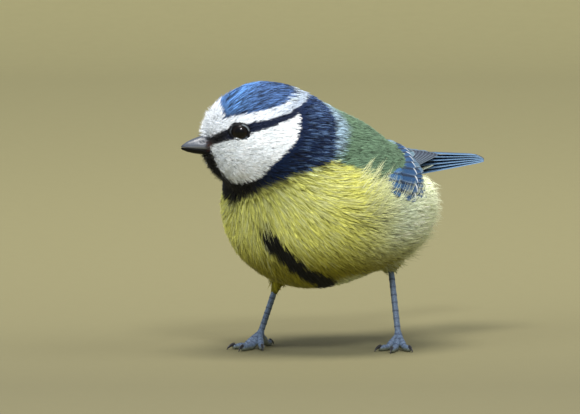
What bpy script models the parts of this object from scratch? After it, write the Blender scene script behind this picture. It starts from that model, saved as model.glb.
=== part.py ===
"""A blue tit standing on both feet with its head turned to its right.

The solids of a still, life-size model. Sizes are in millimetres, and are scaled to metres when
each mesh is finished. The bird faces -Y, its left side is at +X, up is +Z and the floor is z = 0.
"""
from math import cos, pi, radians, sin

import bmesh
import bpy
import numpy as np

MM = 0.001
GAP = 0.3
UP = np.array([0.0, 0.0, 1.0])
BACK = np.array([0.0, 1.0, 0.0])

# Body and head
HEAD_YAW = radians(38)
HEAD_CENTRE = np.array([-3.0, -25.8, 55.8])
HEAD_FORWARD = np.array([-sin(HEAD_YAW), -cos(HEAD_YAW), 0.0])
HEAD_LEFT = np.array([cos(HEAD_YAW), -sin(HEAD_YAW), 0.0])
REAR_CENTRE = np.array([0.0, 9.0, 38.0])
NECK_NORMAL = np.array([0.35, 0.85, -0.22])
REAR_NORMAL = np.array([0.0, 0.99, -0.08])
BILL_DROP = radians(11)
TAIL_LIFT = radians(15)
FLESH_BLEND = 5.0
FACE_ROWS, NECK_ROWS, REAR_ROWS, FLESH_COLUMNS = 13, 18, 12, 36

# Cuts that part the head from the neck and the neck from the torso: a point, a turn and a lean
HEAD_CUT = ((-3.0, -20.5, 55.0), radians(20), radians(43))
NECK_CUT = ((0.0, -17.0, 49.5), radians(8), radians(48))

# Eyes
EYE_FORWARD, EYE_HEIGHT = 7.95, 0.9
EYE_TOE_IN = 0.42
EYE_RADIUS = 2.9
EYE_DEPTH = 1.95
LID_RADIUS = 2.45
LID_THICKNESS = 0.5

# Bill
BILL_BASE = 14.6
BILL_TIP = 20.9
BILL_TIP_HEIGHT = -3.0
BILL_WIDTH = 4.4
CULMEN_BASE_HEIGHT = -0.25
MOUTH_BASE_HEIGHT = -3.75
CHIN_HEIGHT = -5.2
NOSTRIL_PLACE = (15.9, 1.55, -1.9)
NOSTRIL_RADIUS = 0.42

# Wing: the surface it lies on, its edges and its layers
WING_AXIS_HEIGHT = 40.0
WING_BED = (((0.0, 5.0, 40.0), (19.5, 21.0, 15.0)), ((0.0, 22.0, 43.6), (7.0, 30.0, 6.4)))
WING_BED_BLEND = 4.0
WING_FRONT, WING_REAR = -7.0, 38.5
LOWER_EDGE = ((-9, 0, 10, 20, 30, 38, 45), (16, 3, 5, 18, 31, 44, 52))
UPPER_EDGE = ((-9, -2, 6, 14, 22, 30, 38, 45), (30, 54, 70, 77, 77, 72, 64, 60))
SHELL_TOP, SHELL_BOTTOM = -0.3, -1.4
SHELL_STATIONS = np.linspace(WING_FRONT, WING_REAR, 13)
SHELL_COLUMNS = 6
POCKET_REACH = 6.0
POCKET_GAP = 0.45
POCKET_TOP = 4.0
VANE_DEPTH = 0.75
VANE_EDGE = 0.5
FREE_TIP_LIFT = 0.55

# Rows of feathers on a wing: how many, root and tip of the first and of the last one as a distance
# back and an angle up, both widths, the rise of roots, the rise of the first and of the last tip,
# whether the feathers are long, and the share of their length that lies free of the wing
WING_ROWS = (
    (6, (2.5, 7), (41.5, 55), (12, 20), (29.5, 61), (3.6, 3.6), -0.35, (-0.2, 0.05), True, 0.4),
    (6, (1, 12), (19.5, 22), (7, 48), (27, 50), (4.2, 4.2), -0.3, (0.05, 0.2), True, 0),
    (3, (5, 46), (28, 54), (7, 62), (23, 67), (5.6, 4.6), -0.1, (0.3, 0.46), True, 0),
    (7, (-4, 16), (9.5, 9), (8, 54), (22, 59), (4.2, 4.2), -0.15, (0.38, 0.38), False, 0),
    (6, (-5.9, 20), (1.5, 12), (0.1, 45), (10, 54), (4, 4), 0, (0.62, 0.62), False, 0),
)

# Tail
TAIL_ROOT = np.array([0.0, 15.5, 47.75])
TAIL_LENGTH = 48.5
TAIL_FALL = 0.088
TAIL_PAIRS = 6
TAIL_VANE_WIDTH = 3.8
TAIL_VANE_THICKNESS = 0.7
TAIL_VANE_DROOP = 0.22
TAIL_TOP = 0.9
TAIL_LAYER_STEPS = (1.55, 0.2)
COVERT_START = 6.0
UPPER_COVERT_WIDTH, UPPER_COVERT_DEPTH, UPPER_COVERT_DROOP, UPPER_COVERT_STEP = 3.6, 1.3, 0.4, 1.7
UNDER_COVERT_WIDTH, UNDER_COVERT_DEPTH, UNDER_COVERT_DROOP, UNDER_COVERT_STEP = 4.4, 1.7, 0.1, 2.1
UPPER_COVERT_ROWS = ((27.0, 0.95, (-1, 0, 1)), (21.0, 1.3, (0,)))
UNDER_COVERT_REACH, UNDER_COVERT_LEVELS = 28.0, (-5.0, -2.2)

# Legs: heel, joint above the toes, and the foot's turn towards the bird's left
LEGS = {
    "right": {
        "heel": (-12.5, -4.5, 18.0), "joint": (-15.5, -9.0, 3.0), "turn": radians(10), "side": -1,
        "thigh_end": 0.3,
    },
    "left": {
        "heel": (10.5, 11.5, 18.0), "joint": (15.0, 8.0, 3.0), "turn": radians(25), "side": 1,
        "thigh_end": -0.05,
    },
}
THIGH_START = -0.45
THIGH_TOP_RADIUS, THIGH_END_RADIUS = 4.4, 1.25
TARSUS_RADIUS = 0.78
TARSUS_SCUTES = 7
SCUTE_HEIGHT = 0.12
ANKLE_RADIUS = 1.15
TOE_HEIGHT = 0.72
TOES = {"middle": (10.5, 0), "inner": (7.6, -30), "outer": (8.2, 30), "hind": (6.6, 180)}
TOE_RADIUS = 0.95
CLAW_LENGTH = 3.4
CLAW_BEND = radians(78)

COLOURS = {
    "head": "#c9d2da", "neck": "#26365c", "torso": "#b9ba4e", "bill": "#3a3d42", "eye": "#0b0a0a",
    "wing": "#4c6d9a", "tail": "#51698c", "leg": "#6f7c8f",
}


def unit(vectors):
    return vectors / np.linalg.norm(vectors, axis=-1, keepdims=True)


def head_point(forward, left, up):
    """A place on the head, from its centre."""
    return HEAD_CENTRE + forward * HEAD_FORWARD + left * HEAD_LEFT + up * UP


def axes(yaw, pitch):
    """Left, back and up axes as columns, for a turn to the right and a lift of the front."""
    yaw, pitch = radians(yaw), radians(pitch)
    forward = np.array([-sin(yaw) * cos(pitch), -cos(yaw) * cos(pitch), sin(pitch)])
    left = np.array([cos(yaw), -sin(yaw), 0.0])
    return np.stack([left, -forward, np.cross(forward, left)], axis=1)


# The body's rounded masses: centre, radii across, along and up, turn to the right, lift in front
MASSES = (
    ((0, 0.2, 37.2), (23.4, 28.4, 17.9), 0, 14),
    ((0, -9, 35.7), (22.5, 20.8, 19.6), 0, 0),
    ((0, 9.6, 36), (20.8, 14.6, 12), 0, 0),
    ((0, -6, 46.5), (18, 21, 14), 0, 20),
    ((0, 22, 43), (6.8, 12, 5.2), 0, -4),
    ((-2, -16.5, 49.5), (16, 14, 15.5), 18, 0),
    (head_point(-0.6, 0, 0.6), (11.4, 13.6, 12.0), 38, 0),
    (head_point(-1.5, 0, -4.5), (12.2, 11.5, 9.0), 38, -8),
    (head_point(4.3, 0, -2.0), (7.8, 10.0, 9.0), 38, -12),
)


def ellipsoid_distance(points, centre, radii, turned=np.eye(3)):
    local = (points - np.array(centre, float)) @ turned
    radii = np.array(radii, float)
    near = np.linalg.norm(local / radii, axis=-1)
    slope = np.linalg.norm(local / radii ** 2, axis=-1)
    return near * (near - 1) / np.maximum(slope, 1e-9)


def blend(first, second, width):
    """The smaller of two distances, rounded where they are nearly equal."""
    share = np.clip(0.5 + 0.5 * (second - first) / width, 0, 1)
    return second * (1 - share) + first * share - width * share * (1 - share)


def flesh_distance(points):
    """How far points lie outside the feathered body."""
    result = None
    for centre, radii, yaw, pitch in MASSES:
        distance = ellipsoid_distance(points, centre, radii, axes(yaw, pitch))
        result = distance if result is None else blend(result, distance, FLESH_BLEND)
    return result


def first_crossing(distance, origins, ways, reach=60.0, step=0.5):
    """Where rays from inside first leave the surface that a distance function describes."""
    low = np.zeros(origins.shape[:-1])
    high = np.full(origins.shape[:-1], reach)
    found = np.zeros(origins.shape[:-1], bool)
    for travelled in np.arange(step, reach + step, step):
        leaves = ~found & (distance(origins + ways * travelled) > 0)
        high[leaves] = travelled
        low[leaves] = travelled - step
        found |= leaves
    for _ in range(20):
        middle = (low + high) / 2
        inside = distance(origins + ways * middle[..., None]) < 0
        low = np.where(inside, middle, low)
        high = np.where(inside, high, middle)
    return low


def flesh_rings(grown=0.0):
    """Rings round the body from the bill's base to the tail's root. The first and last are points."""
    turns = np.arange(FLESH_COLUMNS) * 2 * pi / FLESH_COLUMNS
    bill_way = HEAD_FORWARD * cos(BILL_DROP) - UP * sin(BILL_DROP)
    tail_way = np.array([0.0, cos(TAIL_LIFT), sin(TAIL_LIFT)])
    stations = [(0.0, pi / 2 * (1 - i / FACE_ROWS)) for i in range(FACE_ROWS)]
    stations += [(i / NECK_ROWS, 0.0) for i in range(NECK_ROWS + 1)]
    stations += [(1.0, -pi / 2 * (i + 1) / REAR_ROWS) for i in range(REAR_ROWS)]
    origins, ways = [], []
    for share, tip in stations:
        origin = HEAD_CENTRE * (1 - share) + REAR_CENTRE * share
        smooth = share * share * (3 - 2 * share)
        normal = unit(NECK_NORMAL * (1 - smooth) + REAR_NORMAL * smooth)
        left = unit(np.cross(UP, -normal))
        above = np.cross(-normal, left)
        radial = np.cos(turns)[:, None] * left + np.sin(turns)[:, None] * above
        way = unit(cos(tip) * radial + abs(sin(tip)) * (bill_way if tip > 0 else tail_way))
        origins.append(np.broadcast_to(origin, way.shape))
        ways.append(way)
    origins, ways = np.array(origins), np.array(ways)
    reach = first_crossing(lambda points: flesh_distance(points) - grown, origins, ways)
    return origins + ways * reach[..., None]


def clear_scene():
    for old in list(bpy.data.objects):
        bpy.data.objects.remove(old)


def material(name):
    """A plain surface in one colour, by the name of what it covers."""
    made = bpy.data.materials.get(name)
    if made:
        return made
    made = bpy.data.materials.new(name)
    made.use_nodes = True
    shader = made.node_tree.nodes["Principled BSDF"]
    channels = [int(COLOURS[name][i:i + 2], 16) / 255 for i in (1, 3, 5)]
    linear = [c / 12.92 if c <= 0.04045 else ((c + 0.055) / 1.055) ** 2.4 for c in channels]
    shader.inputs["Base Color"].default_value = (*linear, 1)
    shader.inputs["Roughness"].default_value = 0.1 if name == "eye" else 0.7
    shader.inputs["Metallic"].default_value = 0.0
    return made


def solid(name, points, faces):
    """A closed mesh object, in millimetres, with its faces pointing out."""
    mesh = bpy.data.meshes.new(name)
    mesh.from_pydata([tuple(map(float, p)) for p in points], [], faces)
    made = bpy.data.objects.new(name, mesh)
    bpy.context.scene.collection.objects.link(made)
    shape = bmesh.new()
    shape.from_mesh(mesh)
    bmesh.ops.remove_doubles(shape, verts=shape.verts, dist=1e-4)
    bmesh.ops.recalc_face_normals(shape, faces=shape.faces)
    bmesh.ops.triangulate(shape, faces=shape.faces)
    shape.to_mesh(mesh)
    shape.free()
    return made


def lofted(name, rings):
    """A closed skin over rings of equal length. A ring that is one point closes to that point."""
    rings = np.asarray(rings, float)
    count, sides = rings.shape[:2]
    points = rings.reshape(-1, 3)
    faces = []
    for row in range(count - 1):
        for side in range(sides):
            after = (side + 1) % sides
            low, high = row * sides, (row + 1) * sides
            faces.append((low + side, low + after, high + after, high + side))
    for row in (0, count - 1):
        if np.ptp(rings[row], axis=0).max() > 1e-3:
            faces.append(tuple(row * sides + side for side in range(sides)))
    return solid(name, points, faces)


def rings_along(path, widths, heights, sides, reference=UP):
    """Oval rings square to a path, with their flat side towards the reference direction."""
    path = np.asarray(path, float)
    ways = unit(np.gradient(path, axis=0))
    turns = (np.arange(sides) + 0.5) * 2 * pi / sides
    rings = []
    for place, way, width, height in zip(path, ways, widths, heights):
        across = unit(np.cross(way, reference))
        above = np.cross(across, way)
        ring = np.cos(turns)[:, None] * width * across + np.sin(turns)[:, None] * height * above
        rings.append(place + ring)
    return np.array(rings)


def slab(name, top, bottom):
    """A closed plate between two grids of points, one over the other."""
    rows, columns = top.shape[:2]
    points = np.concatenate([top.reshape(-1, 3), bottom.reshape(-1, 3)])
    under = rows * columns
    faces = []
    for row in range(rows - 1):
        for column in range(columns - 1):
            a = row * columns + column
            b, c, d = a + 1, a + columns + 1, a + columns
            faces += [(a, b, c), (a, c, d)]
            faces += [(under + a, under + c, under + b), (under + a, under + d, under + c)]
    rim = list(range(columns))
    rim += [row * columns + columns - 1 for row in range(1, rows)]
    rim += [(rows - 1) * columns + column for column in range(columns - 2, -1, -1)]
    rim += [row * columns for row in range(rows - 2, 0, -1)]
    for here, after in zip(rim, rim[1:] + rim[:1]):
        faces.append((here, after, under + after, under + here))
    return solid(name, points, faces)


def ball(name, centre, radius, way, segments=18, rings=10):
    """A sphere with its poles along a direction."""
    across = unit(np.cross(way, UP))
    above = np.cross(across, way)
    turns = np.arange(segments) * 2 * pi / segments
    rows = []
    for step in range(rings + 1):
        tilt = pi * step / rings
        ring = np.cos(turns)[:, None] * across + np.sin(turns)[:, None] * above
        rows.append(np.array(centre) + radius * (sin(tilt) * ring + cos(tilt) * np.array(way)))
    return lofted(name, rows)


def apply_modifiers(target):
    graph = bpy.context.evaluated_depsgraph_get()
    graph.update()
    mesh = bpy.data.meshes.new_from_object(target.evaluated_get(graph))
    target.modifiers.clear()
    target.data = mesh


def keep_largest(target):
    """Keep the closed surface with the most faces, and drop loose scraps and sealed hollows."""
    shape = bmesh.new()
    shape.from_mesh(target.data)
    bmesh.ops.remove_doubles(shape, verts=shape.verts, dist=1e-5)
    left = set(shape.faces)
    pieces = []
    while left:
        start = left.pop()
        piece, edge_of_search = {start}, [start]
        while edge_of_search:
            face = edge_of_search.pop()
            for edge in face.edges:
                for other in edge.link_faces:
                    if other in left:
                        left.discard(other)
                        piece.add(other)
                        edge_of_search.append(other)
        pieces.append(piece)
    pieces.sort(key=len)
    scraps = [face for piece in pieces[:-1] for face in piece]
    bmesh.ops.delete(shape, geom=scraps, context="FACES")
    bmesh.ops.triangulate(shape, faces=shape.faces)
    shape.to_mesh(target.data)
    shape.free()


def boolean(target, others, operation, solver="EXACT"):
    """Join closed meshes to a target, or cut them out of it, and remove them."""
    group = bpy.data.collections.new("operands")
    bpy.context.scene.collection.children.link(group)
    for other in others:
        bpy.context.scene.collection.objects.unlink(other)
        group.objects.link(other)
    modifier = target.modifiers.new(operation.lower(), "BOOLEAN")
    modifier.operation = operation
    modifier.operand_type = "COLLECTION"
    modifier.collection = group
    modifier.solver = solver
    apply_modifiers(target)
    for other in others:
        bpy.data.objects.remove(other)
    bpy.data.collections.remove(group)
    keep_largest(target)
    return target


def fuse(name, pieces, solver="EXACT"):
    target = pieces[0]
    target.name = name
    return boolean(target, pieces[1:], "UNION", solver)


def carve(target, cutters, solver="EXACT"):
    return boolean(target, cutters, "DIFFERENCE", solver)


def cut_normal(turn, lean):
    """The direction, back and down, that a cut through the neck faces."""
    return np.array([sin(turn) * cos(lean), cos(turn) * cos(lean), -sin(lean)])


def parted(target, place, normal, keep_behind):
    """Cut a closed mesh by a plane, keep one side and close it with a flat face."""
    shape = bmesh.new()
    shape.from_mesh(target.data)
    everything = list(shape.verts) + list(shape.edges) + list(shape.faces)
    side = {"clear_inner": True} if keep_behind else {"clear_outer": True}
    result = bmesh.ops.bisect_plane(
        shape, geom=everything, dist=1e-5, plane_co=place, plane_no=normal, **side
    )
    rim = [item for item in result["geom_cut"] if isinstance(item, bmesh.types.BMEdge)]
    bmesh.ops.edgeloop_fill(shape, edges=rim)
    bmesh.ops.recalc_face_normals(shape, faces=shape.faces)
    bmesh.ops.triangulate(shape, faces=shape.faces)
    shape.to_mesh(target.data)
    shape.free()


def flesh_length(name, front_cut=None, rear_cut=None):
    """The length of the body between two cuts, which keep half the gap each."""
    made = lofted(name, flesh_rings())
    if front_cut:
        place, turn, lean = front_cut
        normal = cut_normal(turn, lean)
        parted(made, place + normal * GAP / 2, normal, keep_behind=True)
    if rear_cut:
        place, turn, lean = rear_cut
        normal = cut_normal(turn, lean)
        parted(made, place - normal * GAP / 2, normal, keep_behind=False)
    return made


def eye_way(side):
    """The way an eye looks: to the side and a little forward."""
    return unit(side * HEAD_LEFT + EYE_TOE_IN * HEAD_FORWARD)


def eye_surface(side):
    """Where an eye looks out of the head's surface."""
    inside = head_point(EYE_FORWARD, 0.0, EYE_HEIGHT) - EYE_TOE_IN * 8 * HEAD_FORWARD
    reach = first_crossing(flesh_distance, inside[None], eye_way(side)[None])
    return inside + eye_way(side) * reach[0]


def eye_centre(side):
    return eye_surface(side) - eye_way(side) * EYE_DEPTH


def lid_ring(side):
    """The raised rim of both eyelids."""
    way = eye_way(side)
    across = unit(np.cross(way, UP))
    above = np.cross(across, way)
    middle = eye_surface(side)
    points, faces = [], []
    steps, sides = 20, 6
    for step in range(steps):
        turn = 2 * pi * step / steps
        out = cos(turn) * across + sin(turn) * above
        for corner in range(sides):
            angle = 2 * pi * corner / sides
            reach = LID_RADIUS + LID_THICKNESS * cos(angle)
            points.append(middle + out * reach + way * LID_THICKNESS * sin(angle))
    for step in range(steps):
        for corner in range(sides):
            here, after = step * sides, (step + 1) % steps * sides
            beside = (corner + 1) % sides
            faces.append((here + corner, here + beside, after + beside, after + corner))
    return solid("lid", points, faces)


def build_head():
    head = flesh_length("head", rear_cut=HEAD_CUT)
    fuse("head", [head, lid_ring(1), lid_ring(-1)])
    sockets = [ball("socket", eye_centre(side), EYE_RADIUS + GAP, eye_way(side)) for side in (1, -1)]
    return carve(head, sockets)


def build_eyes():
    for side, name in ((1, "eye_left"), (-1, "eye_right")):
        ball(name, eye_centre(side), EYE_RADIUS, eye_way(side))


def bill_rings(ridge, flat, width_share):
    """Rings down the bill, arched from a flat face to a ridge. Both heights run from base to tip."""
    shares = np.array([-0.45, 0.0, 0.2, 0.4, 0.6, 0.78, 0.92, 1.0])
    turns = np.linspace(0, pi, 8)
    rings = []
    for share in shares:
        along = max(share, 0.0)
        forward = BILL_BASE + share * (BILL_TIP - BILL_BASE)
        level = np.interp(along, *flat)
        rise = np.interp(along, *ridge) - level
        half = width_share * BILL_WIDTH / 2 * (1 - along ** 1.4) ** 0.75 + 0.12
        rings.append([head_point(forward, half * cos(t), level + rise * sin(t) ** 0.85) for t in turns])
    return rings


def grown_body():
    """The body's surface moved out by the gap, which cuts what grows from it."""
    return lofted("grown body", flesh_rings(GAP))


def build_bill():
    """Two mandibles, the upper one curved down, with the line of the mouth between them."""
    stations = (0.0, 0.25, 0.5, 0.75, 0.92, 1.0)
    mouth = (stations, (MOUTH_BASE_HEIGHT, -3.6, -3.45, -3.3, -3.22, BILL_TIP_HEIGHT - 0.25))
    culmen = (stations, (CULMEN_BASE_HEIGHT, -0.65, -1.2, -1.9, -2.6, BILL_TIP_HEIGHT))
    under_mouth = (stations, tuple(height - GAP for height in mouth[1]))
    chin = (stations, (CHIN_HEIGHT, -5.05, -4.8, -4.4, -3.95, BILL_TIP_HEIGHT - 0.75))
    upper = lofted("bill_upper", bill_rings(culmen, mouth, 1.0))
    lower = lofted("bill_lower", bill_rings(chin, under_mouth, 0.94))
    forward, left, up = NOSTRIL_PLACE
    places = [head_point(forward, side * left, up) for side in (1, -1)]
    pits = [ball("pit", place, NOSTRIL_RADIUS, HEAD_LEFT, 8, 6) for place in places]
    carve(upper, [grown_body()] + pits)
    carve(lower, [grown_body()])


def wing_bed_distance(points):
    """The body, filled out behind to the surface that the folded wings lie on."""
    front, rear = [ellipsoid_distance(points, centre, radii) for centre, radii in WING_BED]
    return blend(flesh_distance(points), blend(front, rear, WING_BED_BLEND), 2.0)


def wing_surface(back, angle, height, side=1):
    """Points at a distance back and an angle up round the body's long axis, raised off the bed."""
    back, angle = np.broadcast_arrays(np.asarray(back, float), np.asarray(angle, float))
    lift = np.radians(angle)
    ways = np.stack([np.cos(lift), np.zeros_like(lift), np.sin(lift)], axis=-1)
    origins = np.stack([np.zeros_like(back), back, np.full_like(back, WING_AXIS_HEIGHT)], axis=-1)
    reach = first_crossing(wing_bed_distance, origins, ways, 32.0, 1.0) + height
    points = origins + ways * reach[..., None]
    points[..., 0] *= side
    return points


def wing_edges(back, grown=0.0):
    """The angles of a wing's lower and upper edge, moved out by a distance."""
    radius = wing_surface(back, 30.0, 0.0)[..., 0] / cos(radians(30))
    spread = np.degrees(grown / radius)
    return np.interp(back, *LOWER_EDGE) - spread, np.interp(back, *UPPER_EDGE) + spread


def wing_grid(back, grown, height, side):
    low, high = wing_edges(back, grown)
    share = np.linspace(0, 1, SHELL_COLUMNS + 1)
    angle = low[:, None] * (1 - share) + high[:, None] * share
    return wing_surface(back[:, None], angle, height, side)


def wing_shell(side):
    top = wing_grid(SHELL_STATIONS, -0.5, SHELL_TOP, side)
    bottom = wing_grid(SHELL_STATIONS, -0.5, SHELL_BOTTOM, side)
    return slab("shell", top, bottom)


def wing_pocket(side):
    """The hollow in the torso that the folded wing lies in."""
    front, rear = WING_FRONT - POCKET_GAP, WING_REAR + POCKET_REACH
    stations = np.concatenate([[front], SHELL_STATIONS[1:], [rear]])
    top = wing_grid(stations, POCKET_GAP, POCKET_TOP, side)
    bottom = wing_grid(stations, POCKET_GAP, SHELL_BOTTOM - POCKET_GAP, side)
    return slab("pocket", top, bottom)


LONG_VANE = (np.array([0.0, 0.25, 0.55, 0.8, 0.94, 1.0]), np.array([0.7, 0.95, 1.0, 0.9, 0.58, 0.16]))
SHORT_VANE = (np.array([0.0, 0.5, 0.82, 0.95, 1.0]), np.array([0.75, 1.0, 0.9, 0.58, 0.16]))
TAIL_VANE = (np.array([0.0, 0.4, 0.85, 0.96, 1.0]), np.array([0.6, 1.0, 1.0, 0.76, 0.3]))


def wing_vane(side, root, tip, width, rise, form=LONG_VANE, free=0.0):
    """One feather on the wing: root and tip as distance back and angle, with its lower edge raised."""
    shares, outline = form
    back = root[0] + (tip[0] - root[0]) * shares
    angle = root[1] + (tip[1] - root[1]) * shares
    radius = wing_surface(back, angle, 0.0)
    radius = np.hypot(radius[:, 0], radius[:, 2] - WING_AXIS_HEIGHT)
    slope = np.gradient(np.radians(angle)) * radius / np.gradient(back)
    half = width / 2 * outline
    steep = np.sqrt(1 + slope ** 2)
    across = np.array([-1.0, 0.0, 1.0])
    backs = back[:, None] - across * (half * slope / steep)[:, None]
    angles = angle[:, None] + np.degrees(across * (half / steep / radius)[:, None])
    tilt = np.array([VANE_EDGE, VANE_EDGE * 0.8, 0.0])
    top = (rise[0] + (rise[1] - rise[0]) * shares)[:, None] + tilt * (0.4 + 0.6 * shares)[:, None]
    lifted = -VANE_DEPTH + FREE_TIP_LIFT * (free > 0)
    sunk = np.interp(shares, (0, 1 - free, 1), (-VANE_DEPTH, -VANE_DEPTH, lifted))
    upper = wing_surface(backs, angles, top, side)
    lower = wing_surface(backs, angles, np.broadcast_to(sunk[:, None], top.shape), side)
    return slab("vane", upper, lower)


def wing_vanes(side):
    """Primaries, secondaries, tertials and two rows of coverts."""
    vanes = []
    for count, root, tip, last_root, last_tip, widths, root_rise, tip_rise, is_long, free in WING_ROWS:
        form = LONG_VANE if is_long else SHORT_VANE
        for share in np.linspace(0, 1, count):
            start = np.array(root) * (1 - share) + np.array(last_root) * share
            end = np.array(tip) * (1 - share) + np.array(last_tip) * share
            width = widths[0] * (1 - share) + widths[1] * share
            rise = (root_rise, tip_rise[0] * (1 - share) + tip_rise[1] * share)
            vanes.append(wing_vane(side, start, end, width, rise, form, free))
    return vanes


def build_wings():
    for side, name in ((1, "wing_left"), (-1, "wing_right")):
        fuse(name, [wing_shell(side)] + wing_vanes(side))


def build_torso():
    torso = flesh_length("torso", front_cut=NECK_CUT)
    return carve(torso, [wing_pocket(1), wing_pocket(-1)])


def tail_point(along, across, height):
    """A place on the tail, from its root back, to the bird's left and up. The tail falls a little."""
    along, across, height = np.broadcast_arrays(along, across, height)
    return TAIL_ROOT + np.stack([across, along, height - TAIL_FALL * along], axis=-1)


def tail_vane(root_across, tip_across, start, length, width, level, thickness, droop):
    """One feather of the tail or its coverts, with its outer edge lower than its inner one."""
    shares, outline = TAIL_VANE
    outward = 1.0 if tip_across > 0 else -1.0
    middle = root_across + (tip_across - root_across) * shares
    half = width / 2 * outline
    across = np.array([-1.0, 0.0, 1.0])
    spread_across = middle[:, None] + across * half[:, None]
    along = (start + (length - start) * shares)[:, None]
    height = level[0] + (level[1] - level[0]) * shares[:, None] - droop * across * outward
    top = tail_point(along, spread_across, height)
    bottom = tail_point(along, spread_across, height - thickness)
    return slab("vane", top, bottom)


def build_tail():
    """Twelve feathers, the middle pair on top, with coverts over and under their roots."""
    pieces = []
    for pair in range(TAIL_PAIRS):
        for side in (1, -1):
            top = TAIL_TOP - 0.06 * (side < 0)
            levels = [top - step * pair for step in TAIL_LAYER_STEPS]
            length = TAIL_LENGTH + 0.6 * pair - 0.16 * pair ** 2
            pieces.append(tail_vane(
                side * (0.6 + 0.3 * pair), side * (0.95 + 0.55 * pair), 0.0, length,
                TAIL_VANE_WIDTH, levels, TAIL_VANE_THICKNESS, TAIL_VANE_DROOP,
            ))
    for reach, level, steps in UPPER_COVERT_ROWS:
        for step in steps:
            place = UPPER_COVERT_STEP * step + 0.05
            levels = (level, level - 0.5 * abs(step))
            pieces.append(tail_vane(
                place * 0.8, place, COVERT_START, reach - 1.4 * abs(step),
                UPPER_COVERT_WIDTH, levels, UPPER_COVERT_DEPTH, UPPER_COVERT_DROOP,
            ))
    for step in (-1, 0, 1):
        place = UNDER_COVERT_STEP * step + 0.05
        levels = (UNDER_COVERT_LEVELS[0], UNDER_COVERT_LEVELS[1] + 0.3 * abs(step))
        pieces.append(tail_vane(
            place * 0.9, place, COVERT_START, UNDER_COVERT_REACH - 2 * abs(step),
            UNDER_COVERT_WIDTH, levels, UNDER_COVERT_DEPTH, UNDER_COVERT_DROOP,
        ))
    tail = fuse("tail", pieces)
    return carve(tail, [grown_body()])


def leg_point(leg, share):
    heel, joint = np.array(leg["heel"]), np.array(leg["joint"])
    return heel + (joint - heel) * share


def thigh(name, leg):
    """The feathered cone round the top of the leg, down to a flat end."""
    shares = np.linspace(THIGH_START, leg["thigh_end"], 6)
    path = [leg_point(leg, share) for share in shares]
    radii = np.linspace(THIGH_TOP_RADIUS, THIGH_END_RADIUS, 6)
    made = lofted(name, rings_along(path, radii, radii, 14, reference=BACK))
    return carve(made, [grown_body()])


def tarsus(name, leg):
    """The bare shank, with the overlapping scutes down its front as steps."""
    length = np.linalg.norm(leg_point(leg, 1) - leg_point(leg, 0))
    start = leg["thigh_end"] + GAP / length
    end = 1 - (ANKLE_RADIUS * 0.6 + GAP) / length
    shares, radii = [], []
    for number in range(TARSUS_SCUTES):
        first = start + (end - start) * number / TARSUS_SCUTES
        last = start + (end - start) * (number + 0.93) / TARSUS_SCUTES
        shares += [first, last]
        radii += [TARSUS_RADIUS, TARSUS_RADIUS + SCUTE_HEIGHT]
    shares.append(end)
    radii.append(TARSUS_RADIUS + 0.1)
    path = [leg_point(leg, share) for share in shares]
    radii = np.array(radii)
    return lofted(name, rings_along(path, radii * 0.85, radii * 1.05, 8, reference=BACK))


def toe(leg, length, turn):
    """One toe from the ankle down to the floor, with its pads pressed flat, and its claw."""
    out = np.array([sin(turn), -cos(turn), 0.0])
    joint = np.array(leg["joint"])
    stations = np.array([0.0, 1.6, 3.0, 4.4, 5.9, 7.4, 8.9])
    stations = stations[stations < length - 0.8]
    stations = np.append(stations, length)
    heights = np.interp(stations, (0, 1.4, 3.0, 4.4), (joint[2], 2.75, 1.5, TOE_HEIGHT))
    pads = 1.0 - 0.13 * (np.arange(len(stations)) % 2)
    taper = np.interp(stations / length, (0, 0.4, 1), (1.05, 1.0, 0.72))
    radii = TOE_RADIUS * pads * taper
    path = [np.array([joint[0], joint[1], 0]) + out * along + UP * height
            for along, height in zip(stations, heights)]
    rings = rings_along(path, radii, radii, 8)
    rings[..., 2] = np.maximum(rings[..., 2], 0.0)
    claw_path, claw_radii = [], []
    for share in np.linspace(0, 1, 5):
        bend = share * CLAW_BEND
        forward = CLAW_LENGTH * sin(bend) / CLAW_BEND
        drop = CLAW_LENGTH * (1 - cos(bend)) / CLAW_BEND
        claw_path.append(path[-1] + out * (forward - 0.7) + UP * (0.55 - drop * 0.62))
        claw_radii.append(0.52 * (1 - share) ** 0.8 + 0.07)
    claw_radii = np.array(claw_radii)
    claw_rings = rings_along(claw_path, claw_radii * 0.75, claw_radii, 6)
    claw_rings[..., 2] = np.maximum(claw_rings[..., 2], 0.04)
    return [lofted("toe", rings), lofted("claw", claw_rings)]


def foot(name, leg):
    """Four toes and the ankle, which stops at a flat face below the shank."""
    pieces = []
    shank = unit(leg_point(leg, 0) - leg_point(leg, 1))
    joint = leg_point(leg, 1)
    path = [joint + shank * reach for reach in (-1.0, -0.4, 0.25, ANKLE_RADIUS * 0.6)]
    radii = np.array([0.75, 1.15, 1.15, 0.95])
    pieces.append(lofted("ankle", rings_along(path, radii, radii, 10, reference=BACK)))
    for length, turn in TOES.values():
        side_turn = radians(turn) * leg["side"]
        pieces += toe(leg, length, leg["turn"] + side_turn)
    return fuse(name, pieces)


def build_legs():
    for side, leg in LEGS.items():
        thigh("thigh_" + side, leg)
        tarsus("tarsus_" + side, leg)
        foot("foot_" + side, leg)


def finish():
    """Scale every solid to metres and put the origin at the middle of the floor under the bird."""
    corners = np.array([v.co for made in bpy.data.objects for v in made.data.vertices])
    low, high = corners.min(axis=0), corners.max(axis=0)
    middle = np.array([(low[0] + high[0]) / 2, (low[1] + high[1]) / 2, 0.0])
    for made in bpy.data.objects:
        for vertex in made.data.vertices:
            vertex.co = [float(value) for value in (np.array(vertex.co) - middle) * MM]
        kind = made.name.split("_")[0]
        kind = "leg" if kind in ("tarsus", "foot") else kind
        kind = "torso" if kind == "thigh" else kind
        made.data.materials.clear()
        made.data.materials.append(material(kind))
        made.data.shade_smooth()
        made.data.set_sharp_from_angle(angle=radians(35))


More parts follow.
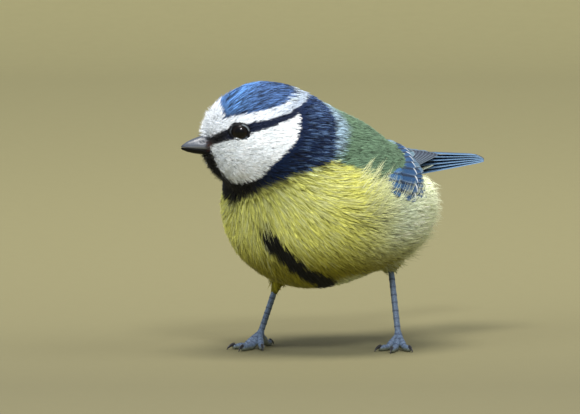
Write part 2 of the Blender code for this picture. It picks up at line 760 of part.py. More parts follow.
def main():
    clear_scene()
    build_head()
    flesh_length("neck", front_cut=HEAD_CUT, rear_cut=NECK_CUT)
    build_torso()
    build_eyes()
    build_bill()
    build_wings()
    build_tail()
    build_legs()
    finish()


if __name__ == "__main__":
    main()
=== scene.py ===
"""The looks of a life-size blue tit that stands with its head turned to its right.

Shapes are worked out in millimetres, in the bird's own frame: it faces -Y, its left side is at +X
and the floor is z = 0. They are moved to the frame's origin and to metres as each mesh is made.
"""

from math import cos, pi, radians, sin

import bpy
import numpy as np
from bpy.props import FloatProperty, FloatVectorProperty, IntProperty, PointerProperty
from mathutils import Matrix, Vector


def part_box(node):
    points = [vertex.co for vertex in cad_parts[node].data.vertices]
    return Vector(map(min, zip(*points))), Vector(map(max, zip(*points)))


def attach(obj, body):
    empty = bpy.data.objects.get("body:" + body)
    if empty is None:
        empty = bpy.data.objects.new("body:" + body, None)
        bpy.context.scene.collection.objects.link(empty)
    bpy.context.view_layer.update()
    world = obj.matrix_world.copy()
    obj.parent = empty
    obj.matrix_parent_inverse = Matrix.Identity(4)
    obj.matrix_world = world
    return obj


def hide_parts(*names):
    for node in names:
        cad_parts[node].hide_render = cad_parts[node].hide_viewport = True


bl_info = {
    "name": "Blue Tit Model",
    "version": (1, 0, 0),
    "blender": (4, 5, 0),
    "location": "View3D > Sidebar > Blue Tit",
    "description": "Builds the plumage, wings, tail, bill, eyes and feet of a life-size blue tit",
    "category": "Add Mesh",
}

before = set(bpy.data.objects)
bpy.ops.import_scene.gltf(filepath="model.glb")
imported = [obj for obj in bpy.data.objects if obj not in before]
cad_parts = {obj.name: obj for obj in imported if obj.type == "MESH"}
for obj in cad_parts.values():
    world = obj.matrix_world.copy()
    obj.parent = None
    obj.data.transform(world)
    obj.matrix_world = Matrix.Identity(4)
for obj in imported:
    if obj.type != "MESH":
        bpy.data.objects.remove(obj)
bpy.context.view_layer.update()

MM = 0.001
UP = np.array([0.0, 0.0, 1.0])
SEED = 7

# The head's place and its turn to the right, and the path of the neck from the head to the rear of the body
HEAD_YAW = radians(38)
HEAD_CENTRE = np.array([-3.0, -25.8, 55.8])
HEAD_FORWARD = np.array([-sin(HEAD_YAW), -cos(HEAD_YAW), 0.0])
HEAD_LEFT = np.array([cos(HEAD_YAW), -sin(HEAD_YAW), 0.0])
REAR_CENTRE = np.array([0.0, 9.0, 38.0])
NECK_NORMAL = np.array([0.35, 0.85, -0.22])
REAR_NORMAL = np.array([0.0, 0.99, -0.08])
NECK_LENGTH = 38.6
BILL_DROP, TAIL_LIFT = radians(11), radians(15)
FLESH_BLEND, THIGH_BLEND = 5.0, 2.0

# The eyes: their place on the head, turn forward, size, and how deep their centre lies
EYE_FORWARD, EYE_HEIGHT = 7.95, 0.9
EYE_TOE_IN = 0.42
EYE_RADIUS, EYE_DEPTH = 2.9, 1.95
EYE_RING, EYE_ROWS = 64, 49
CORNEA_BULGE, CORNEA_WIDTH = 0.035, 0.5
EYE_BARE_RADIUS, EYE_BARE_HEIGHT = 2.35, 1.12
SOCKET_DEPTH, SOCKET_NEAR, SOCKET_FAR = 1.6, 1.6, 2.9

# The lids: rings from the opening outwards, their height over the eyeball, and how pale each one is
LID_COLUMNS, LID_STRETCH = 72, (1.15, 0.95)
LID_RADII = np.array([1.68, 1.74, 1.84, 1.96, 2.10, 2.24, 2.45, 2.75])
LID_HEIGHTS = np.array([-0.12, 0.05, 0.12, 0.14, 0.10, -0.02, -0.35, -0.9])
LID_PALE = np.array([0, 0, 0.1, 0.9, 0.9, 0.1, 0, 0])
LID_CONTACT = 1.9

# The bill: how far forward it runs, its width, and the heights of its edges at stations from base to tip
BILL_BASE, BILL_TIP = 14.6, 20.9
BILL_WIDTH, LOWER_WIDTH_SHARE = 4.4, 0.94
BILL_START = -0.45
BILL_STATIONS = (0.0, 0.25, 0.5, 0.75, 0.92, 1.0)
CULMEN_HEIGHTS = (-0.25, -0.65, -1.2, -1.9, -2.6, -3.0)
MOUTH_HEIGHTS = (-3.75, -3.6, -3.45, -3.3, -3.22, -3.25)
CHIN_HEIGHTS = (-5.2, -5.05, -4.8, -4.4, -3.95, -3.75)
NOSTRIL, NOSTRIL_REACH, NOSTRIL_DEPTH = (15.9, 1.55, -1.9), (0.55, 0.6, 0.32), 0.3

# The surface that the folded wings lie on, and the wing's edges as (places), (degrees up round the long axis)
WING_AXIS_HEIGHT = 40.0
WING_BED = np.array([((0.0, 5.0, 40.0), (19.5, 21.0, 15.0)), ((0.0, 22.0, 43.6), (7.0, 30.0, 6.4))])
WING_BED_BLEND = 4.0
LOWER_EDGE = ((-10, -7.5, -3.5, 2, 7, 10, 20, 30, 38, 45), (5, 0, -4, -2, 3, 6, 18, 31, 44, 52))
UPPER_EDGE = ((-9, -2, 6, 14, 22, 30, 38, 45), (30, 54, 70, 77, 77, 72, 64, 60))
# Where the back's feathers end over the wing, as (degrees up), (places)
SCAPULAR_EDGE = ((-20, -2, 4, 9, 13, 17, 21, 30, 48, 65, 90), (-3, -8, -11, -11, -9, -2, 4, 9, 13, 15, 18))

# Rows of wing feathers: how many, root back and angle from first to last, tip back and angle from first to
# last, width, height at the root and at the tip, share of the width on the outer side, and how blunt the
# tip is
WING_ROWS = {
    "primary": (8, (2.5, 7), (12.0, 20), (41.5, 55), (29.5, 61), 3.4, -0.55, -0.25, 0.3, 0.5),
    "secondary": (7, (1.0, 12), (7.0, 48), (19.5, 20), (27.0, 50), 4.2, -0.45, 0.1, 0.35, 0.35),
    "tertial": (3, (5.0, 46), (7.0, 62), (28.5, 54), (23.0, 67), 5.4, -0.2, 0.4, 0.4, 0.4),
    "primary_covert": (6, (-4.0, 3), (1.0, 18), (9.0, -3), (12.0, 14), 2.8, -0.5, 0.2, 0.4, 0.4),
    "greater_covert": (12, (-8.0, 5), (8.0, 54), (3.5, -2), (21.0, 60), 4.4, -0.7, 0.36, 0.4, 0.2),
    "median_covert": (11, (-13.0, 11), (0.0, 45), (-4.0, 1), (10.0, 54), 3.8, -0.8, 0.45, 0.45, 0.3),
}
WING_WEB_COLOURS = (
    "primary_web", "secondary_web", "tertial_web", "covert_web", "covert_web", "small_covert_web",
)
VANE_ROWS, VANE_COLUMNS = 22, 9

# The tail: its root, length and fall, and its vanes' width, top level, step down from pair to pair, and droop
TAIL_ROOT = np.array([0.0, 15.5, 47.75])
TAIL_LENGTH, TAIL_FALL = 48.5, 0.088
TAIL_PAIRS = 6
TAIL_VANE_WIDTH = 4.0
TAIL_LAYER_STEPS = (1.53, 0.23)
TAIL_VANE_DROOP = 0.22
TAIL_TOP = 0.9
# Rows of coverts: reach and level of each row over the tail, and those under it
UPPER_TAIL_COVERTS = ((28.0, 1.1), (24.0, 1.3), (20.5, 1.5))
UNDER_TAIL_REACH, UNDER_TAIL_LEVELS = 29.0, (-5.6, -2.6)

LEGS = {
    "right": {
        "heel": (-12.5, -4.5, 18.0), "joint": (-15.5, -9.0, 3.0), "turn": radians(10), "side": -1,
        "thigh_end": 0.3,
    },
    "left": {
        "heel": (10.5, 11.5, 18.0), "joint": (15.0, 8.0, 3.0), "turn": radians(25), "side": 1,
        "thigh_end": -0.05,
    },
}
TOES = {"middle": (10.5, 0), "inner": (7.6, -30), "outer": (8.2, 30), "hind": (6.6, 180)}
# How a toe falls from the ankle to the floor, as (millimetres out), (heights), and its radius along it
TOE_FALL = ((0, 0.7, 1.4, 2.2, 3.0, 4.4), (3.0, 2.95, 2.65, 2.05, 1.4, 0.72))
TOE_RADIUS, TOE_TAPER = 0.95, ((0, 0.4, 0.9, 1), (1.05, 0.92, 0.74, 0.55))
TOE_PAD_SPACING, TOE_SCUTE_LENGTH = 2.9, 0.95
SHANK_RADIUS, SHANK_SCUTES = 0.78, 8
CLAW_BEND, CLAW_RADIUS, CLAW_FLOOR = radians(78), 0.5, 0.03
THIGH_START = -0.45
THIGH_TOP_RADIUS, THIGH_END_RADIUS = 4.4, 1.25
THIGH_SKIN_DEPTH = 0.5
THIGH_ROWS, THIGH_COLUMNS, THIGH_FEATHERS = 14, 28, 150

# The skin: its depth under the coat's outer surface on the head, and its rings and columns
SKIN_DEPTH_HEAD = 0.7
FACE_ROWS, NECK_ROWS, REAR_ROWS, COLUMNS = 44, 64, 44, 168
# How much darker the skin is painted than the plumage, as painted shade deep under the coat
SKIN_SHADE = 0.55

# The coat's zones: feathers on each square millimetre, their length and half width, a barb's width, how
# high a tip stands over the surface, how deep the root sits, and how strongly streaks show
ZONES = {
    "face": (9.5, 2.0, 0.18, 0.09, 0.14, 0.6, 0.05),
    "forehead": (9.0, 2.3, 0.18, 0.09, 0.20, 0.6, 0.03),
    "crown": (9.0, 4.8, 0.12, 0.085, 0.06, 0.6, 2.60),
    "bib": (7.5, 2.8, 0.18, 0.10, 0.60, 0.7, 0.30),
    "collar": (7.5, 4.0, 0.14, 0.09, 0.18, 0.8, 0.90),
    "mantle": (6.6, 3.8, 0.22, 0.11, 0.12, 1.0, 0.30),
    "breast": (6.4, 5.2, 0.22, 0.115, 0.32, 1.2, 0.28),
    "flank": (6.2, 7.0, 0.22, 0.12, 0.50, 1.3, 0.46),
    "vent": (5.4, 6.8, 0.27, 0.125, 0.60, 1.3, 0.20),
    "rump": (3.4, 5.0, 0.36, 0.14, 0.0, 1.2, 0.12),
}
DENSITY, LENGTH, HALF_WIDTH, BARB_WIDTH, TIP_HEIGHT, ROOT_DEPTH, STREAK = range(7)
THIGH_COAT = (3.0, 3.0, 0.4, 0.12, 0.25, 0.4, 0.3)
ZONE_PIECES = {"forehead": "face", "bib": "collar"}
COAT_PIECES = (
    "crown", "face_left", "face_right", "collar_left", "collar_right", "mantle_left", "mantle_right",
    "rump", "breast_left", "breast_right", "flank_left", "flank_right", "vent",
)
PIECE_SLOTS = {
    "crown": "blue_feathers", "face": "white_feathers", "collar": "navy_feathers", "mantle": "blue_feathers",
    "bristles": "white_feathers",
}
# The triangles that a piece stays under, the stations down a feather's shaft, and how far the borders of
# markings wander, as a share of a feather's length
PIECE_LIMIT = 200000
STATIONS = 5
BORDER_NOISE = 0.06

# A barb: two triangles and a tip, how light each of its points is, and their places on its patch of the map
RIBBON_FACES = np.array([(0, 1, 3), (0, 3, 2), (2, 3, 4)])
# Each point's lightness: darker at the root for the grey base and for painted shade deep in the coat, lighter
# at the tip as painted light
RIBBON_SHADE = np.array([0.62, 0.62, 0.9, 0.9, 1.08])
RIBBON_PATCH = np.array([(0, 0), (0.45, 0), (0, 0.5), (0.5, 0.5), (0.25, 1.0)])
PATCH_SIZE = 0.003
# Pale feathers lose most of the painted root shade, as light passes through white barbs
CLEAR_SHADE, CLEAR_STRENGTH = 1.06, 0.65

# Loose barbs: the share of roots that carry them, the same numbers as a zone's, and how strongly they bend
# up; and how far each kind fades to the colour of loose barbs
LOOSE_BARBS = {
    "wisps": (0.085, (0, 7.5, 0, 0.095, 1.3, 0.6, 0), 0.9),
    "strands": (0.075, (0, 5.5, 0, 0.10, 0.62, 0.3, 0), 0.0),
    "down": (0.12, (0, 7.0, 0, 0.12, 1.6, 0.6, 0), 0.1),
}
LOOSE_PALENESS = {"wisps": 0.7, "strands": 0.36, "down": 0.7, "bristles": 0.0}
BRISTLE_SHARE, BRISTLE_STATIONS, BRISTLE_WIDTH = 0.45, 4, 0.10

# The place on the left breast where feathers part and their grey bases show, darkened by painted shade in the
# gap, and how far it reaches
RUFFLE, RUFFLE_REACH, RUFFLE_STRENGTH = np.array([20.0, -15.5, 34.5]), np.array([9.0, 5.0, 3.2]), 0.85
# How strongly the painted highlight shows on the collar's strands, and the share of each dark stroke's tone
# that is left
PAINTED_SHEEN_STRENGTH = 0.24
# The dark strokes are painted shade for the gaps between feathers
GAP_SHADE_SHARE, GAP_SHADE_TONE = 0.12, 0.4
TONE_LIMITS = (0.22, 1.9)

# Where the plumage changes colour, as (places), (limits). On the head the places are degrees round from the
# bill and the limits are degrees up; on the neck they are degrees up and shares of the neck's path.
CROWN_EDGE = ((0, 10, 20, 29, 44, 71, 106, 145, 165, 180), (41, 36, 28, 19, 24.6, 31.3, 38.7, 48, 52.6, 54))
WHITE_FLOOR = (
    (0, 17, 25, 34, 64, 77, 110, 136, 163, 180), (-4, -0.5, 2.5, 7, 16.7, 18.6, 26.3, 33.5, 37, 36),
)
STRIPE_FLOOR = (
    (0, 18, 26, 35, 64.5, 77, 107, 118, 128.7, 180), (-15, -10, -6.8, -5.2, 5, 8.4, 18.1, 20.5, 26, 29),
)
CHEEK_FLOOR = (
    (9, 12, 27, 41, 57, 73, 88, 104, 114, 122, 128, 180),
    (-40, -54, -57, -56, -53, -47, -30, -14, -4, 9, 28, 60),
)
CHEEK_FRONT = ((-60, -54, -42, -28, -16, 0), (19, 18, 17.5, 18.5, 15.5, 15))
COLLAR_EDGE = (
    (-90, -63, -33.5, -15, -3, 16, 31, 49, 90),
    (-0.035, -0.014, 0.092, 0.22, 0.315, 0.338, 0.366, 0.37, 0.34),
)
# The green back's lower edge, as shares of the neck's path and degrees up, and a degree's width there
MANTLE_EDGE = (
    (0.3, 0.37, 0.43, 0.48, 0.52, 0.56, 0.61, 0.66, 0.71, 0.84, 0.95, 1.05, 1.3),
    (-3.4, -3, -2.6, -3.2, -4.5, -5, -2, 2.5, 6, 9.2, 24, 40, 60),
)
MANTLE_DEGREE = 0.36
# The pale band's width behind the collar, by degrees up
NAPE_BAND = ((-8, 10, 30, 60), (0.8, 2.8, 5.0, 6.0))
# The dark stripe's path down the belly, and its half width along it
BELLY_STRIPE = np.array([
    (0.6, -29.3, 31.0), (1.5, -28.6, 29.0), (3.8, -26.6, 25.2), (6.0, -22.9, 21.7), (7.9, -17.0, 18.9),
    (7.6, -13.0, 17.4), (4.0, -8.0, 16.5), (0.0, 2.0, 17.0),
])
STRIPE_WIDTHS = ((0.0, 0.12, 0.3, 0.5, 0.7, 1.0), (0.8, 2.4, 2.3, 2.6, 2.6, 1.7))

# The lie of the coat where it is known: a place on the left side, and the way its feathers point
LIE_GUIDES = tuple((np.array(place, float), np.array(way)) for place, way in (
    ((-9, -29, 38), (0.11, 0.02, -0.99)),
    ((2, -31, 40), (0.45, 0.14, -0.88)),
    ((7, -30, 40), (0.69, 0.24, -0.69)),
    ((12, -27, 42), (0.75, 0.48, -0.45)),
    ((16, -23, 43), (0.69, 0.69, -0.21)),
    ((10, -28, 34), (0.5, 0.42, -0.76)),
    ((14, -25, 32), (0.58, 0.63, -0.51)),
    ((5, -29, 30), (0.3, 0.42, -0.85)),
    ((15, -21, 26), (0.26, 0.8, -0.55)),
    ((19, -19, 45), (0.44, 0.89, 0.13)),
    ((22, -14, 43), (0.09, 0.9, 0.4)),
    ((23, -7, 43), (-0.1, 0.9, 0.4)),
    ((23, -1, 43), (-0.2, 0.9, 0.36)),
    ((24, 6, 39), (-0.06, 0.95, 0.28)),
    ((22, -15, 38), (0.3, 0.93, 0.2)),
    ((24, -4, 35), (0.03, 0.99, 0.16)),
    ((19, -19, 31), (0.31, 0.81, -0.49)),
    ((22, -10, 29), (0.09, 0.99, -0.13)),
    ((21, 8, 28), (0.17, 0.92, 0.36)),
    ((14, -12, 56), (0.46, 0.73, -0.51)),
    ((18, -9, 51), (0.35, 0.84, -0.43)),
    ((20, -3, 49), (0.08, 0.95, -0.31)),
))
GUIDE_REACH, GUIDE_PULL = 6.5, 2.2

# The view: degrees round and up, its scale, and how far its middle lies right of and above a point
VIEW_AZIMUTH, VIEW_ELEVATION = radians(35), radians(5)
PIXELS_PER_MM, FRAME_WIDTH = 4.0, 580
VIEW_DISTANCE = 2600.0
VIEW_ANCHOR, ANCHOR_OFFSET = np.array([0.0, 0.0, 36.0]), (-10.25, -0.5)

# The floor: it runs back level from the first to the third place, then bends up over a radius
FLOOR_RUN = (-3000.0, 0.0, 500.0)
SWEEP_START, SWEEP_RADIUS, SWEEP_BEND, SWEEP_STEPS = 900.0, 500.0, radians(40), 16
FLOOR_GAP, FLOOR_COLUMNS = 0.02, 9

# Soft lights: name, degrees round and up, distance, size in metres, watts, colour, and whether glossy
# surfaces mirror them; and the place that they all point at
LIGHTS = (
    ("light_above", 20, 78, 0.9, 0.5, 10.2, "#fffaf4", True),
    ("light_front", -12, 26, 1.1, 0.8, 6.2, "#f3f6ff", False),
    ("light_side", 110, 42, 1.1, 0.7, 4.6, "#f4f6ff", False),
    ("light_key", 43, 39, 1.0, 0.2, 5.0, "#ffffff", True),
)
LIGHT_TARGET = np.array([0, -8, 40])
AIR_COLOUR = "#dfe3ea"


def linear(hex_colour):
    """Linear light from an sRGB hex colour: c / 12.92 below 0.04045, else ((c + 0.055) / 1.055) ^ 2.4."""
    channels = [int(hex_colour[i:i + 2], 16) / 255 for i in (1, 3, 5)]
    return tuple(c / 12.92 if c <= 0.04045 else ((c + 0.055) / 1.055) ** 2.4 for c in channels)


def unit(vectors):
    """Each vector divided by its own length."""
    return vectors / np.maximum(np.linalg.norm(vectors, axis=-1, keepdims=True), 1e-9)


def smooth(low, high, values):
    """3 s^2 - 2 s^3, where s runs from 0 at low to 1 at high."""
    share = np.clip((values - low) / (high - low), 0, 1)
    return share * share * (3 - 2 * share)


def mixed(first, second, share):
    """The first value moved towards the second by a share: a + (b - a) s."""
    return first + (second - first) * share


def tones(settings, names):
    """The settings' colours of these names, as arrays."""
    return [np.array(getattr(settings, name)) for name in names]


def circle(count):
    """Angles evenly round a full turn."""
    return np.arange(count) * 2 * pi / count


def head_point(forward, left, up):
    """A place on the head: its centre plus the three distances along the head's own axes."""
    forward, left, up = np.broadcast_arrays(forward, left, up)
    return HEAD_CENTRE + forward[..., None] * HEAD_FORWARD + left[..., None] * HEAD_LEFT + up[..., None] * UP


def head_place(points):
    """Degrees round from the bill's side and degrees up, as seen from the head's centre."""
    local = points - HEAD_CENTRE
    forward, left = local @ HEAD_FORWARD, local @ HEAD_LEFT
    around = np.degrees(np.arctan2(np.abs(left), forward))
    up = np.degrees(np.arctan2(local[..., 2], np.hypot(forward, left)))
    return around, up


def axes(yaw, pitch):
    """Left, back and up axes as columns, for a turn to the right and a lift of the front."""
    yaw, pitch = radians(yaw), radians(pitch)
    forward = np.array([-sin(yaw) * cos(pitch), -cos(yaw) * cos(pitch), sin(pitch)])
    left = np.array([cos(yaw), -sin(yaw), 0.0])
    return np.stack([left, -forward, np.cross(forward, left)], axis=1)


# The body's rounded masses: centre, radii across, along and up, turn to the right, lift in front
MASSES = tuple((np.array(centre, float), np.array(radii, float), axes(yaw, pitch))
               for centre, radii, yaw, pitch in (
    ((0, 0.2, 37.2), (23.4, 28.4, 17.9), 0, 14),
    ((0, -9, 35.7), (22.5, 20.8, 19.6), 0, 0),
    ((0, 9.6, 36), (20.8, 14.6, 12), 0, 0),
    ((0, -6, 46.5), (18, 21, 14), 0, 20),
    ((0, 22, 43), (6.8, 12, 5.2), 0, -4),
    ((-2, -16.5, 49.5), (16, 14, 15.5), 18, 0),
    (head_point(-0.6, 0, 0.6), (11.4, 13.6, 12.0), 38, 0),
    (head_point(-1.5, 0, -4.5), (12.2, 11.5, 9.0), 38, -8),
    (head_point(4.3, 0, -2.0), (7.8, 10.0, 9.0), 38, -12),
))


def ellipsoid_distance(points, centre, radii, turned):
    """Near the surface: n (n - 1) / m, where n is |p / r| and m is |p / r^2| for p in its own axes."""
    local = (points - centre) @ turned
    near = np.linalg.norm(local / radii, axis=-1)
    slope = np.linalg.norm(local / radii ** 2, axis=-1)
    return near * (near - 1) / np.maximum(slope, 1e-9)


def blend(first, second, width):
    """The smaller of two distances, rounded where they differ by less than the width."""
    share = np.clip(0.5 + 0.5 * (second - first) / width, 0, 1)
    return second * (1 - share) + first * share - width * share * (1 - share)


def flesh_distance(points):
    """How far points lie outside the feathered body: the rounded smallest of its masses' distances."""
    result = None
    for mass in MASSES:
        distance = ellipsoid_distance(points, *mass)
        result = distance if result is None else blend(result, distance, FLESH_BLEND)
    return result


def slope_of(distance, points, step=0.4):
    """The unit gradient of a distance, from four samples at the corners of a tetrahedron round each point."""
    corners = np.array([(1, -1, -1), (-1, -1, 1), (-1, 1, -1), (1, 1, 1)], float)
    return unit(sum(corner * distance(points + corner * step)[..., None] for corner in corners))


def first_crossing(distance, origins, ways, reach=60.0, step=0.75):
    """Where rays from inside first leave a surface: steps out to the first point outside, then halvings."""
    low = np.zeros(origins.shape[:-1])
    high = np.full(origins.shape[:-1], reach)
    found = np.zeros(origins.shape[:-1], bool)
    for travelled in np.arange(step, reach + step, step):
        if found.all():
            break
        leaves = ~found & (distance(origins + ways * travelled) > 0)
        high[leaves] = travelled
        low[leaves] = travelled - step
        found |= leaves
    for _ in range(12):
        middle = (low + high) / 2
        inside = distance(origins + ways * middle[..., None]) < 0
        low = np.where(inside, middle, low)
        high = np.where(inside, high, middle)
    return low


def ring_frame(share):
    """The centre and the back, left and up axes of the neck's cross-section at a share of its path."""
    share = np.asarray(share, float)[..., None]
    turned = smooth(0.0, 1.0, share)
    normal = unit(NECK_NORMAL * (1 - turned) + REAR_NORMAL * turned)
    left = unit(np.cross(UP, -normal))
    return HEAD_CENTRE * (1 - share) + REAR_CENTRE * share, normal, left, np.cross(-normal, left)


def neck_place(points):
    """The share of the path whose cross-section holds each point, by halving, and its degrees up."""
    low, high = np.full(points.shape[:-1], -0.6), np.full(points.shape[:-1], 1.6)
    for _ in range(14):
        middle = (low + high) / 2
        centre, normal, _, _ = ring_frame(middle)
        behind = np.sum((points - centre) * normal, axis=-1) > 0
        low, high = np.where(behind, middle, low), np.where(behind, high, middle)
    centre, _, left, above = ring_frame(middle)
    across = np.sum((points - centre) * left, axis=-1)
    height = np.sum((points - centre) * above, axis=-1)
    return middle, np.degrees(np.arctan2(height, np.abs(across)))


def flesh_grid():
    """Rings round the body from the bill's base to the tail's root, where rays from the neck's path leave the
    flesh."""
    turns = circle(COLUMNS)
    bill_way = HEAD_FORWARD * cos(BILL_DROP) - UP * sin(BILL_DROP)
    tail_way = np.array([0.0, cos(TAIL_LIFT), sin(TAIL_LIFT)])
    front = np.linspace(1, 0, FACE_ROWS, endpoint=False)
    rear = np.linspace(0, 1, REAR_ROWS + 1)[1:]
    share = np.concatenate([np.zeros(FACE_ROWS), np.linspace(0, 1, NECK_ROWS + 1), np.ones(REAR_ROWS)])
    tip = np.concatenate([front, np.zeros(NECK_ROWS + 1), -rear]) * pi / 2
    centre, _, left, above = ring_frame(share)
    radial = np.cos(turns)[None, :, None] * left[:, None] + np.sin(turns)[None, :, None] * above[:, None]
    pole = np.where((tip > 0)[:, None], bill_way, tail_way)[:, None]
    ways = unit(np.cos(tip)[:, None, None] * radial + np.abs(np.sin(tip))[:, None, None] * pole)
    origins = np.broadcast_to(centre[:, None], ways.shape)
    return origins + ways * first_crossing(flesh_distance, origins, ways)[..., None]


def wing_bed_distance(points):
    """The body, filled out behind by two more rounded masses to the surface that the folded wings lie on."""
    front, rear = [ellipsoid_distance(points, centre, radii, np.eye(3)) for centre, radii in WING_BED]
    return blend(flesh_distance(points), blend(front, rear, WING_BED_BLEND), 2.0)


def wing_surface(back, angle, height):
    """Points on the left wing: out from the long axis by an angle up, to the bed, plus a height."""
    back, angle, height = np.broadcast_arrays(np.asarray(back, float), np.asarray(angle, float), height)
    lift = np.radians(angle)
    ways = np.stack([np.cos(lift), np.zeros_like(lift), np.sin(lift)], axis=-1)
    origins = np.stack([np.zeros_like(back), back, np.full_like(back, WING_AXIS_HEIGHT)], axis=-1)
    reach = first_crossing(wing_bed_distance, origins, ways, 32.0, 1.5) + height
    return origins + ways * reach[..., None]


def wing_place(points):
    """How far back a point lies, and its angle up round the long axis, on either side."""
    return points[..., 1], np.degrees(np.arctan2(points[..., 2] - WING_AXIS_HEIGHT, np.abs(points[..., 0])))


def leg_line(leg):
    """Where a feathered thigh starts, and the way from there to its end."""
    heel, joint = np.array(leg["heel"]), np.array(leg["joint"])
    return heel + (joint - heel) * THIGH_START, (joint - heel) * (leg["thigh_end"] - THIGH_START)


def thigh_radius(share):
    """A thigh's radius, which falls evenly from top to end."""
    return THIGH_END_RADIUS + (THIGH_TOP_RADIUS - THIGH_END_RADIUS) * (1 - share)


def thigh_distance(points):
    """How far points lie outside the feathered thighs: the distance to each leg's line less its radius."""
    result = np.full(points.shape[:-1], 1e3)
    for leg in LEGS.values():
        start, way = leg_line(leg)
        share = np.clip(((points - start) @ way) / (way @ way), 0, 1)
        distance = np.linalg.norm(points - start - share[..., None] * way, axis=-1) - thigh_radius(share)
        result = np.minimum(result, distance)
    return result


def body_distance(points):
    """The flesh and the thighs, joined round their edges."""
    return blend(flesh_distance(points), thigh_distance(points), THIGH_BLEND)


def distance_to_path(points, path):
    """The smallest distance to the straight pieces between a path's points, and how far along it that is."""
    best = np.full(points.shape[:-1], 1e9)
    along = np.zeros(points.shape[:-1])
    for number, (start, end) in enumerate(zip(path[:-1], path[1:])):
        way = end - start
        share = np.clip(((points - start) @ way) / (way @ way), 0, 1)
        distance = np.linalg.norm(points - start - share[..., None] * way, axis=-1)
        along = np.where(distance < best, (number + share) / (len(path) - 1), along)
        best = np.minimum(best, distance)
    return best, along


def ripple(points, length, seed=0):
    """Soft noise, mostly between -1 and 1: four sine waves in seeded directions, each one length long, added
    up and divided by 2.4."""
    draw = np.random.default_rng(SEED + seed)
    total = 0.0
    for _ in range(4):
        way = unit(draw.normal(size=3))
        total = total + np.sin(points @ way * 2 * pi / length + draw.uniform(0, 2 * pi))
    return total / 2.4


def above_mantle_edge(points, share, rise):
    """How many millimetres a point lies above the green back's lower edge. All that lies below the tail
    counts as under it."""
    below_tail = smooth(12, 20, points[..., 1]) * smooth(46.5, 44.5, points[..., 2])
    return (rise - np.interp(share, *MANTLE_EDGE)) * MANTLE_DEGREE - 20 * below_tail


def plumage(points, colours):
    """The colour of the plumage at points: each marking is painted over the ones before it, by a share from
    0 to 1. A pair of numbers in smooth() says where a marking starts and where it is full: heights and places
    back are in millimetres, places on the head in degrees, and places on the neck are shares of its path."""
    share, rise = neck_place(points)
    around, up = head_place(points)
    left = (points - HEAD_CENTRE) @ HEAD_LEFT
    height, back = points[..., 2], points[..., 1]
    painted = np.zeros(points.shape[:-1] + (3,)) + colours["breast"]

    def paint(colour, mask):
        """Move what is painted so far towards a colour by the mask, held between 0 and 1."""
        nonlocal painted
        painted = mixed(painted, colours[colour], np.clip(mask, 0, 1)[..., None])

    # The yellow underside, darkened towards the bottom by painted shade, its pale rear, and the dark stripe
    # down the belly
    paint("breast_bright", smooth(30, 41, height) * smooth(0.45, 0.2, share) * 0.9)
    # Painted shade: the yellow darkens low under the body, where less light falls
    paint("belly_shade", smooth(30, 20, height))
    paint("flank", smooth(-18, 2, back) * smooth(20, 32, height))
    paint("vent", smooth(-4, 12, back) * smooth(25, 37, height + 0.3 * back))
    paint("vent", smooth(-14, -8, back) * smooth(20.5, 18.0, height) * smooth(2, 6, points[..., 0]) * 0.6)
    path_distance, along = distance_to_path(points, BELLY_STRIPE)
    width = np.interp(along, *STRIPE_WIDTHS) + 0.4 * ripple(points, 3.0, 21)
    paint("belly_stripe", smooth(4.2, 2.0, path_distance) * smooth(0.4, 0.15, along) * 0.45)
    paint("belly_stripe", smooth(width + 0.5, width - 0.4, path_distance))
    # The green back, with a painted highlight along its top
    upper = smooth(-0.3, 0.5, above_mantle_edge(points, share, rise))
    paint("mantle", upper)
    # Painted highlight: a paler, greyer green along the top of the back, where the light from above falls
    paint("mantle_highlight", upper * smooth(48, 85, rise) * 0.8)
    paint("rump", upper * smooth(20, 30, back))
    # The collar, with a pale band behind it
    collar = (share - np.interp(rise, *COLLAR_EDGE)) * NECK_LENGTH
    paint("nape_pale", smooth(1.0, 0.35, collar / np.interp(rise, *NAPE_BAND)) * smooth(-2, 9, rise) * 0.85)
    dark = smooth(0.4, -0.4, collar)
    paint("collar", dark)
    paint("bib", dark * smooth(90, 55, around) * smooth(0.28, 0.12, share))
    paint("nape", dark * smooth(0.05, 0.3, share) * smooth(10, 50, rise) * 0.8)
    # The head: cheek, line through the eye, brow and crown
    on_head = smooth(0.2, 0.1, share - 0.003 * np.clip(rise, 0, 90))
    far_chin = 14 * smooth(0, -3, left) * smooth(150, 110, around)
    stripe = up - np.interp(around, *STRIPE_FLOOR)
    cheek = np.minimum(-stripe, up - np.interp(around, *CHEEK_FLOOR) - far_chin)
    cheek = np.minimum(cheek, (around - np.interp(up, *CHEEK_FRONT)) * np.cos(np.radians(up)))
    paint("cheek", on_head * smooth(-1.2, 1.2, cheek))
    paint("stripe", on_head * smooth(-1.0, 1.0, stripe) * smooth(140, 120, around))
    paint("lores", on_head * smooth(-1.0, 1.0, stripe) * smooth(45, 25, around))
    above_stripe = smooth(-1.0, 1.0, up - np.interp(around, *WHITE_FLOOR))
    paint("forehead", on_head * above_stripe)
    paint("brow_rear", on_head * above_stripe * smooth(60, 150, around) * 0.8)
    over_crown_edge = up - np.interp(around, *CROWN_EDGE)
    crown = on_head * smooth(-1.0, 1.0, over_crown_edge)
    paint("crown", crown)
    paint("crown_front", crown * smooth(75, 20, around) * 0.85)
    paint("crown_back", crown * smooth(80, 150, around) * 0.7)
    rim = smooth(7.0, 2.0, over_crown_edge) * smooth(18, 26, around) * smooth(60, 44, around)
    paint("stripe", crown * rim * 0.75)
    paint("rust", np.exp(-((around - 11) / 5.0) ** 2 - ((up + 9.5) / 3.2) ** 2) * 0.85)
    return painted


